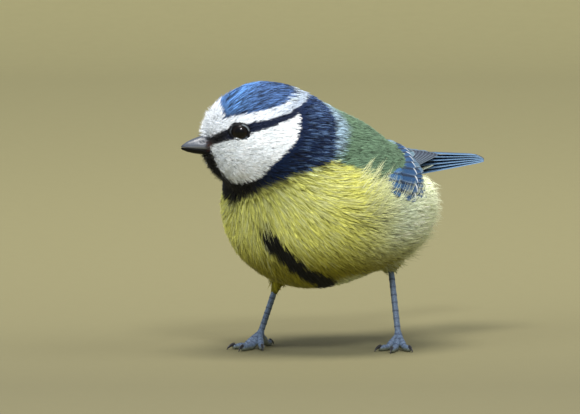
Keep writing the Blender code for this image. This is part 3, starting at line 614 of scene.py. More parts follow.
def lie(points, normals):
    """The way the coat lies: away from the bill on the head, back and down on the body, bent towards each
    guide by exp(-(d / reach)^2), and laid flat on the surface."""
    from_bill = unit(points - head_point(17.0, 0.0, -2.5))
    on_head = smooth(25, 14, np.linalg.norm(points - HEAD_CENTRE, axis=-1))[..., None]
    down = smooth(60, 40, points[..., 2]) * 0.6
    body = np.stack([np.zeros_like(down), np.ones_like(down), -down], axis=-1)
    way = from_bill * on_head + unit(body) * (1 - on_head)
    pull = np.zeros_like(points)
    flipped = smooth(-8, -15, points[..., :1])
    for mirror, amount in ((1.0, 1 - flipped), (-1.0, flipped)):
        for place, guide in LIE_GUIDES:
            weight = np.exp(-np.sum((points - place * (mirror, 1, 1)) ** 2, axis=-1) / GUIDE_REACH ** 2)
            pull += amount * weight[..., None] * guide * (mirror, 1, 1)
    way = way + pull * GUIDE_PULL * (1 - on_head)
    way -= normals * np.sum(way * normals, axis=-1, keepdims=True)
    return unit(way)


def zone_shares(points):
    """How much of each zone's coat grows at each point; the shares add up to one. The pairs of numbers in
    smooth() are degrees on the head, millimetres back on the body, and shares of the neck's path."""
    share, rise = neck_place(points)
    collar = (share - np.interp(rise, *COLLAR_EDGE)) * NECK_LENGTH
    around, up = head_place(points)
    back = points[..., 1]
    head = smooth(0.1, -0.1, collar / 3)
    crown = head * smooth(-2, 2, up - np.interp(around, *CROWN_EDGE))
    cheek = np.minimum(up - np.interp(around, *CHEEK_FLOOR), around - np.interp(up, *CHEEK_FRONT))
    face = head * smooth(-6, 0, cheek) * smooth(0.2, 0.1, share) * (1 - crown)
    forehead = face * smooth(-2, 4, up - np.interp(around, *WHITE_FLOOR)) * smooth(62, 40, around)
    bib = (head - face - crown) * smooth(80, 45, around) * smooth(0.2, 0.05, share)
    upper = (1 - head) * smooth(-0.5, 0.5, above_mantle_edge(points, share, rise))
    lower = (1 - head) * (1 - upper / np.maximum(1 - head, 1e-6))
    flank = lower * smooth(-14, -4, back)
    vent = flank * smooth(8, 20, back)
    rump = upper * smooth(14, 22, back)
    return {
        "face": face - forehead, "forehead": forehead, "crown": crown, "bib": bib,
        "collar": head - face - crown - bib, "mantle": upper - rump,
        "breast": lower - flank, "flank": flank - vent, "vent": vent, "rump": rump,
    }


def coat_style(points):
    """Each zone's numbers, mixed by the zones' shares at each point."""
    shares = zone_shares(points)
    return sum(np.asarray(shares[name])[..., None] * np.array(ZONES[name]) for name in ZONES)


def bare(points):
    """True where no coat grows: the eyes, the bill's base, under the folded wings, and the tail's root."""
    result = np.zeros(points.shape[:-1], bool)
    for place in EYE_PLACES.values():
        result |= np.linalg.norm((points - place) * (1.0, 1.0, EYE_BARE_HEIGHT), axis=-1) < EYE_BARE_RADIUS
    local = points - HEAD_CENTRE
    bill_distance = np.hypot(local @ HEAD_LEFT, local[..., 2] + 2.9)
    result |= (local @ HEAD_FORWARD > 13.0) & (bill_distance < 1.9)
    back, angle = wing_place(points)
    covered = (back > np.interp(angle, *SCAPULAR_EDGE)) & (back < 36)
    covered &= (angle > np.interp(back, *LOWER_EDGE) - 1) & (angle < np.interp(back, *UPPER_EDGE) - 4)
    return result | covered | (back > 33)


def below_wing(points):
    """1 just under the folded wing's lower edge, 0 away from it."""
    back, angle = wing_place(points)
    below = angle - np.interp(back, *LOWER_EDGE)
    return smooth(-16, -4, below) * smooth(12, 2, below) * smooth(-12, -5, back) * smooth(36, 26, back)


def wing_overlap(points):
    """How much further out tips lie where the coat passes over the folded wing: a little over its lower
    edge, and over its shoulder by as much as the wing stands out of the body there."""
    back, angle = wing_place(points)
    proud = np.maximum(-wing_bed_distance(points), 0)
    on_shoulder = smooth(14, 20, angle) * smooth(66, 50, angle) * smooth(-10, -3, back)
    return 0.2 * below_wing(points) + 0.95 * proud * on_shoulder


def grow_roots(grid, draw):
    """Roots by area and density: cells are walked in order, and one root is set each time their summed
    area times density passes a whole number, at a drawn place in the cell."""
    after = np.roll(grid, -1, axis=1)
    corners = np.stack([grid[:-1], after[:-1], after[1:], grid[1:]], axis=2)
    diagonals = corners[:, :, 2] - corners[:, :, 0], corners[:, :, 3] - corners[:, :, 1]
    area = np.linalg.norm(np.cross(*diagonals), axis=-1) / 2
    middle = corners.mean(axis=2)
    order = np.cumsum((area * coat_style(middle)[..., DENSITY] * ~bare(middle)).ravel())
    count = int(order[-1])
    cell = np.searchsorted(order, np.arange(count) + draw.uniform(0, 1, count))
    cell = np.minimum(cell, order.size - 1)
    chosen = corners.reshape(-1, 4, 3)[cell]
    a, b = draw.uniform(0, 1, (2, count, 1))
    roots = mixed(mixed(chosen[:, 0], chosen[:, 1], a), mixed(chosen[:, 3], chosen[:, 2], a), b)
    row, column = np.divmod(cell, grid.shape[1])
    unwrap = np.stack([(column + a[:, 0]) / grid.shape[1], (row + b[:, 0]) / (grid.shape[0] - 1)], axis=-1)
    return roots, unwrap


def thigh_rings():
    """Rings round each leg's line, from inside the body down to the bare shank, closed at the end."""
    share = np.linspace(0, 1, THIGH_ROWS)
    turns = circle(THIGH_COLUMNS)[:, None]
    result = []
    for leg in LEGS.values():
        start, line_way = leg_line(leg)
        line = start + line_way * share[:, None]
        line = np.append(line, line[-1:], axis=0)
        radius = np.append(thigh_radius(share) - THIGH_SKIN_DEPTH, 0.0)
        way = unit(line_way)
        across = unit(np.cross(way, (0.0, 1.0, 0.0)))
        round_it = np.cos(turns) * across + np.sin(turns) * np.cross(way, across)
        result.append(line[:, None] + radius[:, None, None] * round_it)
    return np.array(result)


def grow_thigh_roots(draw):
    """Roots scattered over both thighs, more of them where they are wide, and their places on a free strip of
    the map."""
    last = THIGH_ROWS - 2
    rings = thigh_rings()[:, :last + 1]
    count = 2 * THIGH_FEATHERS
    side = np.arange(count) // THIGH_FEATHERS
    place = last * (1 - np.sqrt(draw.uniform(0, 1, count)))
    low = np.minimum(place.astype(int), last - 1)
    column = draw.integers(0, THIGH_COLUMNS, count)
    roots = mixed(rings[side, low, column], rings[side, low + 1, column], (place - low)[:, None])
    unwrap = [(column + 0.5) / THIGH_COLUMNS * 0.1 + 0.2 + 0.5 * side, 0.9 + place / last * 0.05]
    return roots, np.stack(unwrap, axis=-1)


def streaks(roots, length):
    """Noise drawn out along the lie of the coat: the mean of fine noise at nine places down each feather."""
    way = lie(roots, slope_of(body_distance, roots))
    share = np.linspace(-0.7, 1.3, 9)[:, None]
    places = roots[:, None] + way[:, None] * length[:, None, None] * share
    fine = sum(ripple(places, size, seed) for size, seed in ((0.55, 31), (0.8, 32), (1.2, 33)))
    return np.clip(fine.mean(axis=1) * 1.5, -1.6, 1.6)


def grow_shafts(roots, style, streak, draw, lift=0.0):
    """The feathers' shafts: each step goes on along the lie of the coat, turned a little by a drawn drift and
    bent up by the lift, and is set back to its own level, which rises from the root's depth to the tip's
    height as s^0.7. Narrow feathers drift less."""
    count = len(roots)
    high, deep = style[:, TIP_HEIGHT], style[:, ROOT_DEPTH]
    length = style[:, LENGTH] * draw.uniform(0.8, 1.2, count) * (1 + 0.12 * ripple(roots, 6.0, 3))
    tip = high + draw.normal(0, 0.12, count) * (0.6 + high * 2) + 0.12 * ripple(roots, 3.5, 4)
    tip = tip + 0.10 * streak * (0.5 + high)
    wide = style[:, HALF_WIDTH]
    sleek = np.where(wide > 0, np.clip((wide - 0.09) / 0.09, 0.25, 1), 1)
    drift = draw.normal(0, 0.10, (count, 1)) * sleek[:, None]
    places, normals, ways = [], [], []
    place = roots
    for step in range(STATIONS):
        share = step / (STATIONS - 1)
        normal = slope_of(body_distance, place)
        level = -deep + (tip + deep) * share ** 0.7
        place = place + normal * (level - body_distance(place))[:, None]
        way = lie(place, normal)
        way = unit(way + np.cross(normal, way) * drift + lift * (UP - normal * normal[:, 2:]))
        places.append(place)
        normals.append(normal)
        ways.append(way)
        place = place + way * (length / (STATIONS - 1))[:, None]
    return np.stack(places, axis=1), np.stack(normals, axis=1), np.stack(ways, axis=1)


def grow_barbs(shafts, style, barbs, draw):
    """Barbs as tapered ribbons of three stations, q = 0, 1/2 and 1. A barb leaves the shaft at b and ends at
    e, and runs out to the side as w o(e) (1 - (1 - q)^2), where o(e) is the feather's outline, pointed at its
    tip. Each one is rolled a little about its own length."""
    count = len(shafts[0])
    number = np.arange(barbs)
    side = np.where(number % 2, 1.0, -1.0)
    start = (number // 2) / (barbs / 2) * 0.62 + draw.uniform(-0.04, 0.04, (count, barbs))
    end = np.clip(start + 0.42 + draw.uniform(-0.06, 0.1, (count, barbs)), 0.3, 1.0)
    outline = np.clip(np.sin(pi * np.clip(end, 0, 0.98) ** 1.3), 0.08, 1) ** 0.7
    spread = side * outline * draw.uniform(0.55, 1.15, (count, barbs)) * style[:, None, HALF_WIDTH]
    part_way = np.array([0.0, 0.5, 1.0])
    along = np.clip(mixed(start[..., None], end[..., None], part_way), 0, 0.9999)
    out = spread[..., None] * (1 - (1 - part_way) ** 2)
    stand = draw.normal(0, 0.05, (count, barbs))[..., None] * part_way + 0.02 * (number % 3)[:, None]
    slot = along * (STATIONS - 1)
    low = slot.astype(int)
    part = (slot - low)[..., None]
    pick = np.arange(count)[:, None, None]
    centre, normal, way = (mixed(rows[pick, low], rows[pick, low + 1], part) for rows in shafts)
    normal = unit(normal)
    centre = centre + np.cross(normal, way) * out[..., None] + normal * stand[..., None]
    across = unit(np.cross(unit(np.gradient(centre, axis=2)), normal))
    roll = draw.normal(0, 0.35, (count, barbs, 1, 1))
    across = across * np.cos(roll) + normal * np.sin(roll)
    taper = style[:, None, None, BARB_WIDTH] * np.array([0.8, 1.0, 0.0])
    width = (taper * draw.uniform(0.7, 1.3, (count, barbs, 1)))[..., None]
    left, right = centre - across * width / 2, centre + across * width / 2
    return np.stack([left[:, :, 0], right[:, :, 0], left[:, :, 1], right[:, :, 1], centre[:, :, 2]], axis=2)


def long_ribbons(places, normals, width):
    """Tapered ribbons down the whole of each path, as wide at station s as the width times 1 - s^2."""
    stations = places.shape[1]
    across = unit(np.cross(unit(np.gradient(places, axis=1)), normals))
    half = (1 - np.linspace(0, 1, stations) ** 2)[:, None] * width / 2
    both = np.stack([places - across * half, places + across * half], axis=2)
    return both.reshape(len(places), 2 * stations, 3)[:, :-1]


def long_ribbon_faces(stations):
    """Two triangles for each step of a long ribbon, and one at its tip."""
    low = 2 * np.arange(stations - 2)[:, None]
    steps = np.concatenate([low + (0, 1, 3), low + (0, 3, 2)])
    end = 2 * stations - 4
    return np.concatenate([steps, [(end, end + 1, end + 2)]])


def grow_loose(roots, share, style, lift, draw):
    """Long loose barbs that rise off the coat and are bent up by a lift, three from each root drawn."""
    chosen = np.repeat(np.flatnonzero(draw.uniform(0, 1, len(roots)) < share), 3)
    count = len(chosen)
    styles = np.tile(style, (count, 1))
    styles[:, LENGTH] *= draw.uniform(0.6, 1.25, count)
    styles[:, TIP_HEIGHT] *= draw.uniform(0.4, 1.3, count)
    starts = roots[chosen] + draw.normal(0, 0.12, (count, 3))
    places, normals, _ = grow_shafts(starts, styles, np.zeros(count), draw, lift)
    return long_ribbons(places, normals, style[BARB_WIDTH]), chosen, starts


def grow_bristles(roots, share, draw):
    """Fine bristles round the bill's base, two from each root drawn: s + l (w r - (0.3 f - 0.1 u) r^2), so
    that they point forward and away from the head and then bend back."""
    chosen = np.repeat(np.flatnonzero(draw.uniform(0, 1, len(roots)) < share), 2)
    count = len(chosen)
    starts = roots[chosen] + draw.normal(0, 0.1, (count, 3))
    out = slope_of(flesh_distance, starts)
    way = unit(HEAD_FORWARD * 0.7 + out * 0.7 + draw.normal(0, 0.16, (count, 3)))
    length = draw.uniform(1.0, 2.2, (count, 1, 1))
    rise = np.linspace(0, 1, BRISTLE_STATIONS)[:, None]
    places = starts[:, None] + length * (way[:, None] * rise - (HEAD_FORWARD * 0.3 - UP * 0.1) * rise ** 2)
    return long_ribbons(places, np.broadcast_to(out[:, None], places.shape), BRISTLE_WIDTH), chosen, starts


def eye_way(side):
    """The way an eye looks: to the side and a little forward."""
    return unit(side * HEAD_LEFT + EYE_TOE_IN * HEAD_FORWARD)


def eye_surface(side):
    """Where an eye looks out of the head's surface."""
    inside = head_point(EYE_FORWARD, 0.0, EYE_HEIGHT) - EYE_TOE_IN * 8 * HEAD_FORWARD
    reach = first_crossing(flesh_distance, inside[None], eye_way(side)[None])
    return inside + eye_way(side) * reach[0]


def eye_centre(side):
    """The middle of the solids' eyeball, behind the head's surface."""
    return EYE_PLACES[side] - eye_way(side) * EYE_DEPTH


EYE_PLACES = {side: eye_surface(side) for side in (1, -1)}
# The step from the bird's own frame to the origin's, read off the left eye's box
EYE_BOX = [np.array(corner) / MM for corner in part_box("eye_left")]
SHIFT = (EYE_BOX[0] + EYE_BOX[1]) / 2 - eye_centre(1)


def make_mesh(name, points, triangles, colours=None, maps=None):
    """A mesh object at the origin, in metres, from arrays of points and triangles, with a colour for each
    point and maps with a place for each point where they are given."""
    points = np.asarray(points, np.float64).reshape(-1, 3)
    triangles = np.asarray(triangles, np.int32).reshape(-1, 3)
    corners = triangles.ravel()
    mesh = bpy.data.meshes.new(name)
    mesh.vertices.add(len(points))
    mesh.vertices.foreach_set("co", ((points + SHIFT) * MM).astype(np.float32).ravel())
    mesh.loops.add(corners.size)
    mesh.loops.foreach_set("vertex_index", corners)
    mesh.polygons.add(len(triangles))
    mesh.polygons.foreach_set("loop_start", np.arange(0, corners.size, 3, dtype=np.int32))
    mesh.polygons.foreach_set("use_smooth", np.ones(len(triangles), bool))
    for title, places in (maps or {}).items():
        layer = mesh.uv_layers.new(name=title)
        layer.uv.foreach_set("vector", places.reshape(-1, 2)[corners].astype(np.float32).ravel())
    if colours is not None:
        layer = mesh.color_attributes.new(name="Plumage", type="FLOAT_COLOR", domain="POINT")
        rgba = np.ones((len(points), 4), np.float32)
        rgba[:, :3] = colours.reshape(-1, 3)
        layer.data.foreach_set("color", rgba.ravel())
    mesh.update(calc_edges=True)
    mesh.validate()
    made = bpy.data.objects.new(name, mesh)
    bpy.context.scene.collection.objects.link(made)
    return made


def grid_triangles(rows, columns, closed=False):
    """Two triangles for each cell of a grid of points, joined round where it is closed."""
    row, column = np.mgrid[0:rows - 1, 0:columns if closed else columns - 1]
    a = row * columns + column
    b = row * columns + (column + 1) % columns
    c, d = b + columns, a + columns
    return np.stack([np.stack([a, b, c], axis=-1), np.stack([a, c, d], axis=-1)], axis=2).reshape(-1, 3)


def sheet_faces(grids, closed):
    """Faces of several grids of one shape. Points of a first or last row that fall together become one pole,
    and faces without area are dropped."""
    count, rows, columns = grids.shape[:3]
    index = np.arange(rows * columns).reshape(rows, columns)
    for row in (0, rows - 1):
        if np.ptp(grids[:, row], axis=1).max() < 1e-6:
            index[row] = index[row, 0]
    faces = index.ravel()[grid_triangles(rows, columns, closed)]
    same = (faces[:, 0] == faces[:, 1]) | (faces[:, 1] == faces[:, 2]) | (faces[:, 0] == faces[:, 2])
    faces = faces[~same]
    return (np.arange(count)[:, None, None] * rows * columns + faces).reshape(-1, 3)


def used_points(points, faces, colours=None):
    """Drop the points that no face uses."""
    used, faces = np.unique(faces, return_inverse=True)
    colours = None if colours is None else colours.reshape(-1, 3)[used]
    return points.reshape(-1, 3)[used], faces.reshape(-1, 3), colours


def make_surface(name, grids, closed, flipped=False, colours=None):
    """One mesh of grids of points, each a sheet, or a tube where it is closed round."""
    grids = np.asarray(grids, float)
    grids = grids[None] if grids.ndim == 3 else grids
    faces = sheet_faces(grids, closed)
    faces = faces[:, ::-1] if flipped else faces
    return make_mesh(name, *used_points(grids, faces, colours))


def finish_piece(made, material, slot, *nodes):
    """Give a piece its material, tie it to the body, and hide the solids that it stands for. The slot that
    says whose finish it takes is not used."""
    made.data.materials.append(material)
    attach(made, "root")
    if nodes:
        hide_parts(*nodes)


def add(tree, kind, settings=None, links=None, **values):
    """One node of a kind, with its settings, the values of its sockets, and links into its sockets."""
    node = tree.nodes.new(kind)
    for name, value in (settings or {}).items():
        setattr(node, name, value)
    for name, value in values.items():
        node.inputs[name.replace("_", " ")].default_value = value
    for name, source in (links or {}).items():
        tree.links.new(source, node.inputs[name])
    return node


def new_material(name):
    """A material, its tree, and its shader, which is linked to the output."""
    made = bpy.data.materials.new(name)
    made.use_nodes = True
    tree = made.node_tree
    tree.nodes.clear()
    shader = add(tree, "ShaderNodeBsdfPrincipled")
    add(tree, "ShaderNodeOutputMaterial", {}, {"Surface": shader.outputs["BSDF"]})
    return made, tree, shader


def paint_material(tree, shader, pattern, span, full=1.0, relief=None, inverted=False, carved=False,
                   **sockets):
    """The mesh's own colours, times a pattern that runs over the span as it goes from 0 to full; relief of a
    strength and a depth in metres where it is given, carved by the pattern after it is spread over the span
    or raised by the pattern itself; and the values of the shader's sockets."""
    colour = add(tree, "ShaderNodeAttribute", {"attribute_name": "Plumage"})
    value = add(tree, "ShaderNodeMapRange", {}, {"Value": pattern}, From_Max=full, To_Min=span[0],
                To_Max=span[1])
    tinted = add(tree, "ShaderNodeVectorMath", {"operation": "SCALE"},
                 {0: colour.outputs["Color"], "Scale": value.outputs["Result"]})
    tree.links.new(tinted.outputs["Vector"], shader.inputs["Base Color"])
    if relief:
        height = value.outputs["Result"] if carved else pattern
        bump = add(tree, "ShaderNodeBump", {"invert": inverted}, {"Height": height},
                   Strength=relief[0], Distance=relief[1])
        tree.links.new(bump.outputs["Normal"], shader.inputs["Normal"])
    for name, setting in sockets.items():
        shader.inputs[name.replace("_", " ")].default_value = setting


def feather_material():
    """Small body feathers: dull keratin barbs, so matt, with a faint sheen at grazing angles. Each barb
    carries its own colour from the mesh, and fine noise 0.25 mm across breaks it along its length."""
    made, tree, shader = new_material("body feather barbs")
    place = add(tree, "ShaderNodeTexCoord").outputs["Object"]
    grain = add(tree, "ShaderNodeTexNoise", {}, {"Vector": place}, Scale=4000.0, Detail=1.0)
    paint_material(tree, shader, grain.outputs["Fac"], (0.86, 1.14), Roughness=0.75, Specular_IOR_Level=0.25,
                   Sheen_Weight=0.12, Sheen_Roughness=0.5)
    return made


def skin_material():
    """Down close to the skin: matt and soft, seen only between the feathers, with mottling 0.6 mm across."""
    made, tree, shader = new_material("skin under down")
    place = add(tree, "ShaderNodeTexCoord").outputs["Object"]
    down = add(tree, "ShaderNodeTexNoise", {}, {"Vector": place}, Scale=1600.0, Detail=3.0)
    paint_material(tree, shader, down.outputs["Fac"], (0.6, 1.3), relief=(0.6, 0.0003), Roughness=0.9)
    return made


def vane_material(name, roughness):
    """Flight feathers: smooth keratin vanes with a soft gloss. Barbs run out from the shaft at a slant,
    0.3 mm apart where real ones are 0.1 mm, so that they show."""
    made, tree, shader = new_material(name)
    vane = add(tree, "ShaderNodeUVMap", {"uv_map": "Vane"})
    split = add(tree, "ShaderNodeSeparateXYZ", {}, {"Vector": vane.outputs["UV"]})
    outward = add(tree, "ShaderNodeMath", {"operation": "ABSOLUTE"}, {0: split.outputs["Y"]})
    slant = add(tree, "ShaderNodeMath", {"operation": "SUBTRACT"},
                {0: split.outputs["X"], 1: outward.outputs[0]})
    line = add(tree, "ShaderNodeCombineXYZ", {}, {"X": slant.outputs[0]})
    barbs = add(tree, "ShaderNodeTexWave", {}, {"Vector": line.outputs["Vector"]}, Scale=3.2, Distortion=0.6,
                Detail=1.0, Detail_Scale=3.0)
    paint_material(tree, shader, barbs.outputs["Fac"], (0.82, 1.12), relief=(0.4, 0.0001),
                   Roughness=roughness, Specular_IOR_Level=0.35)
    return made


def eye_material():
    """A wet cornea over a dark iris: sharp highlights from the clear coat, almost no light from below it, and
    fibres 0.2 mm across in the iris."""
    made, tree, shader = new_material("wet cornea")
    place = add(tree, "ShaderNodeTexCoord").outputs["Object"]
    fibre = add(tree, "ShaderNodeTexNoise", {}, {"Vector": place}, Scale=5000.0, Detail=2.0)
    paint_material(tree, shader, fibre.outputs["Fac"], (0.6, 1.4), Roughness=0.3, Specular_IOR_Level=0.1,
                   Coat_Weight=0.5, Coat_Roughness=0.03)
    return made


def lid_material():
    """Bare lid skin: dark, finely beaded every 0.2 mm, and a little moist."""
    made, tree, shader = new_material("bare lid skin")
    place = add(tree, "ShaderNodeTexCoord").outputs["Object"]
    beads = add(tree, "ShaderNodeTexVoronoi", {}, {"Vector": place}, Scale=4200.0)
    paint_material(tree, shader, beads.outputs["Distance"], (1.15, 0.7), relief=(0.5, 0.0001), inverted=True,
                   Roughness=0.6, Specular_IOR_Level=0.15)
    return made


def horn_material(name, roughness, specular):
    """Bill horn: hard keratin with growth lines along it, 0.3 mm apart, polished above and duller below."""
    made, tree, shader = new_material(name)
    place = add(tree, "ShaderNodeTexCoord").outputs["Object"]
    turned = add(tree, "ShaderNodeMapping", {}, {"Vector": place}, Rotation=(0, 0, HEAD_YAW),
                 Scale=(1.0, 0.2, 1.0))
    lines = add(tree, "ShaderNodeTexNoise", {}, {"Vector": turned.outputs["Vector"]}, Scale=3500.0,
                Detail=3.0)
    paint_material(tree, shader, lines.outputs["Fac"], (0.7, 1.3), relief=(0.25, 0.0001), Roughness=roughness,
                   Specular_IOR_Level=specular)
    return made


def scute_material():
    """Leg scales: blue-grey keratin plates, waxy, with grooves between grains 0.4 mm across."""
    made, tree, shader = new_material("leg scute keratin")
    place = add(tree, "ShaderNodeTexCoord").outputs["Object"]
    cells = add(tree, "ShaderNodeTexVoronoi", {"feature": "DISTANCE_TO_EDGE"}, {"Vector": place},
                Scale=2600.0)
    paint_material(tree, shader, cells.outputs["Distance"], (0.55, 1.1), full=0.25, relief=(0.5, 0.00012),
                   carved=True, Roughness=0.48)
    return made


def claw_material():
    """Claw horn: dark and polished by wear, with faint growth lines 0.3 mm apart."""
    made, tree, shader = new_material("claw horn")
    place = add(tree, "ShaderNodeTexCoord").outputs["Object"]
    lines = add(tree, "ShaderNodeTexNoise", {}, {"Vector": place}, Scale=3000.0, Detail=2.0)
    paint_material(tree, shader, lines.outputs["Fac"], (0.6, 1.5), Roughness=0.35)
    return made


def floor_material(settings, away):
    """Matt painted board whose colour is painted lighter the further back it runs, as painted light that
    makes up for the lamps' fall-off, so that it looks evenly lit. Grain 4 mm across, so faint that it only
    keeps the floor from looking flat."""
    made, tree, shader = new_material("matt painted board")
    place = add(tree, "ShaderNodeTexCoord").outputs["Object"]
    grain = add(tree, "ShaderNodeTexNoise", {}, {"Vector": place}, Scale=250.0, Detail=3.0)
    value = add(tree, "ShaderNodeMapRange", {}, {"Value": grain.outputs["Fac"]}, To_Min=0.97, To_Max=1.03)
    run = add(tree, "ShaderNodeVectorMath", {"operation": "DOT_PRODUCT"}, {0: place})
    run.inputs[1].default_value = away
    # Painted light: the board gets lighter the further back it runs, making up for the lamps' fall-off
    painted_falloff_light = add(tree, "ShaderNodeMapRange", {}, {"Value": run.outputs["Value"]}, From_Min=-0.1, From_Max=1.1,
                To_Min=0.62, To_Max=2.45)
    both = add(tree, "ShaderNodeMath", {"operation": "MULTIPLY"},
               {0: value.outputs["Result"], 1: painted_falloff_light.outputs["Result"]})
    tinted = add(tree, "ShaderNodeVectorMath", {"operation": "SCALE"}, {"Scale": both.outputs["Value"]})
    tinted.inputs[0].default_value = settings.floor
    tree.links.new(tinted.outputs["Vector"], shader.inputs["Base Color"])
    shader.inputs["Roughness"].default_value = 0.8
    return made


def build_skin(settings):
    """The skin: the flesh grid moved in by the coat's depth, with hollows behind the eyes, and the thighs, in
    the plumage's colours, darkened as painted shade deep between the feathers."""
    grid = flesh_grid()
    share, _ = neck_place(grid)
    depth = mixed(SKIN_DEPTH_HEAD, settings.skin_depth / MM, smooth(0.1, 0.5, share))
    inner = grid - slope_of(flesh_distance, grid) * depth[..., None]
    for side, eye in EYE_PLACES.items():
        near = np.linalg.norm(inner - eye, axis=-1)
        inner -= eye_way(side) * (smooth(SOCKET_FAR, SOCKET_NEAR, near) * SOCKET_DEPTH)[..., None]
    front = inner[:1].mean(axis=1, keepdims=True).repeat(COLUMNS, axis=1)
    body = np.concatenate([front, inner[1:]])
    thighs = thigh_rings()
    points = np.concatenate([body.reshape(-1, 3), thighs.reshape(-1, 3)])
    faces = sheet_faces(body[None], True)[:, ::-1], sheet_faces(thighs, True) + body.size // 3
    # Painted shade: the skin takes the plumage's colours, darkened
    painted = plumage(points, plumage_tones(settings)) * SKIN_SHADE
    skin = make_mesh("skin", *used_points(points, np.concatenate(faces), painted))
    finish_piece(skin, skin_material(), "yellow_feathers",
                 "head", "neck", "torso", "thigh_left", "thigh_right")
    return grid


def plumage_tones(settings):
    """The colours of the small feathers by name."""
    return dict(zip(PLUMAGE_COLOURS, tones(settings, PLUMAGE_COLOURS)))


def coat_pieces(roots):
    """The piece that each feather belongs to: the zone with the largest share, left or right."""
    shares = zone_shares(roots)
    kept = np.array([ZONE_PIECES.get(name, name) for name in shares])
    best = kept[np.argmax(np.stack(list(shares.values())), axis=0)]
    left = (roots - HEAD_CENTRE) @ HEAD_LEFT > 0
    side = np.where(np.isin(best, ("face", "collar")), left, roots[:, 0] > 0)
    paired = np.isin(best, ("face", "collar", "breast", "flank", "mantle"))
    return np.where(paired, np.char.add(best, np.where(side, "_left", "_right")), best)


def ribbon_piece(name, ribbons, faces, tints, patches, material):
    """One piece of the coat from ribbons of one shape, each with a colour for each of its points."""
    count, corners = ribbons.shape[:2]
    faces = np.arange(count)[:, None, None] * corners + faces
    if faces.size // 3 >= PIECE_LIMIT:
        raise RuntimeError(f"coat_{name} has {faces.size // 3} triangles")
    made = make_mesh("coat_" + name, ribbons, faces, np.clip(tints, 0, 1), {"OFBake": patches})
    finish_piece(made, material, PIECE_SLOTS.get(name.split("_")[0], "yellow_feathers"))


def marked_colours(settings, colours, painted, pieces, roots, streak):
    """The plumage's colours with a painted highlight on the strands of the collar's rear, as if they catch
    the light, and the grey bases that show where the feathers part on the breast, darkened further by painted
    shade in the parting."""
    at_rear = smooth(2, -6, (roots - HEAD_CENTRE) @ HEAD_FORWARD)
    # Painted highlight: the collar's rear strands are lightened towards pale blue where they would catch the
    # light
    painted_sheen = PAINTED_SHEEN_STRENGTH * np.char.startswith(pieces, "collar") * at_rear * smooth(0.05, 0.8, streak)
    painted = mixed(painted, (colours["crown_front"] + colours["nape_pale"]) / 2, painted_sheen[:, None])
    # Grey feather bases, with painted shade in the gap where the feathers part
    away = (((roots - RUFFLE) / RUFFLE_REACH) ** 2).sum(axis=-1)
    parted_and_shaded = RUFFLE_STRENGTH * np.exp(-away) * smooth(0.25, -0.25, streak)
    return mixed(painted, np.array(settings.feather_base_and_gap_shade), parted_and_shaded[:, None])


def barb_tones(roots, strong, streak, barbs, draw):
    """How light each barb is: soft noise over the coat, the streaks, drawn differences from feather to
    feather and from barb to barb, and a few dark strokes of painted shade for the gaps between feathers, each
    as strong as the zone's streaks."""
    count = len(roots)
    tone = 1 + 0.06 * ripple(roots, 4.0, 9)[:, None] + strong * streak[:, None]
    tone = tone + draw.normal(0, 0.05, (count, 1)) * (1 + 6 * strong)
    tone = tone + draw.normal(0, 0.05, (count, barbs)) * (1 + 3 * strong)
    # Painted shade: a few feathers darkened to stand for gaps between feathers
    dark = draw.uniform(0, 1, (count, 1)) < GAP_SHADE_SHARE * strong
    return np.clip(tone * np.where(dark, GAP_SHADE_TONE, 1.0), *TONE_LIMITS)


def build_coat(settings, grid):
    """All small feathers: roots, shafts, barbs, their colours, and one mesh for each piece. A barb is darker
    at its root, partly for its grey base and partly as painted shade deep in the coat, and a little lighter
    at its tip as painted light; the painted shade is less where the plumage is pale."""
    draw = np.random.default_rng(SEED)
    colours = plumage_tones(settings)
    material = feather_material()
    barbs = settings.barbs
    roots, unwrap = grow_roots(grid, draw)
    thigh_roots, thigh_unwrap = grow_thigh_roots(draw)
    roots, unwrap = np.concatenate([roots, thigh_roots]), np.concatenate([unwrap, thigh_unwrap])
    style = coat_style(roots)
    style[-len(thigh_roots):] = THIGH_COAT
    style[:, TIP_HEIGHT] += wing_overlap(roots)
    style[:, LENGTH] *= (1 - 0.4 * below_wing(roots)) * settings.feather_length
    pieces = coat_pieces(roots)
    streak = streaks(roots, style[:, LENGTH])
    shafts = grow_shafts(roots, style, streak, draw)
    ribbons = grow_barbs(shafts, style, barbs, draw)
    tips = shafts[0][:, 3] + draw.normal(0, BORDER_NOISE, (len(roots), 3)) * style[:, LENGTH, None]
    plain = plumage(tips, colours)
    painted = marked_colours(settings, colours, plain, pieces, roots, streak)
    strong = style[:, STREAK, None] * smooth(0.8, 0.5, painted[:, 2:])
    tone = barb_tones(roots, strong, streak, barbs, draw)
    # Painted shade at each barb's root and painted light at its tip, lifted where the plumage is pale
    clear = CLEAR_STRENGTH * smooth(0.35, 0.6, painted[:, None, None, 2:])
    shade = mixed(RIBBON_SHADE[:, None], CLEAR_SHADE, clear)
    shaded = painted[:, None, None] * tone[:, :, None, None] * shade
    patches = unwrap[:, None, None] + (RIBBON_PATCH - 0.5) * PATCH_SIZE + np.zeros((len(roots), barbs, 1, 1))
    corners = len(RIBBON_SHADE)
    for name in COAT_PIECES:
        mine = pieces == name
        ribbon_piece(name, ribbons[mine].reshape(-1, corners, 3), RIBBON_FACES,
                     shaded[mine].reshape(-1, corners, 3), patches[mine].reshape(-1, corners, 2), material)
    on_breast = np.char.startswith(pieces, "breast") | np.char.startswith(pieces, "flank")
    on_breast = on_breast * smooth(0.05, 0.2, plain.max(axis=-1)) * smooth(22, 34, roots[:, 2])
    build_loose_barbs(settings, colours, roots, unwrap, on_breast, draw, material)


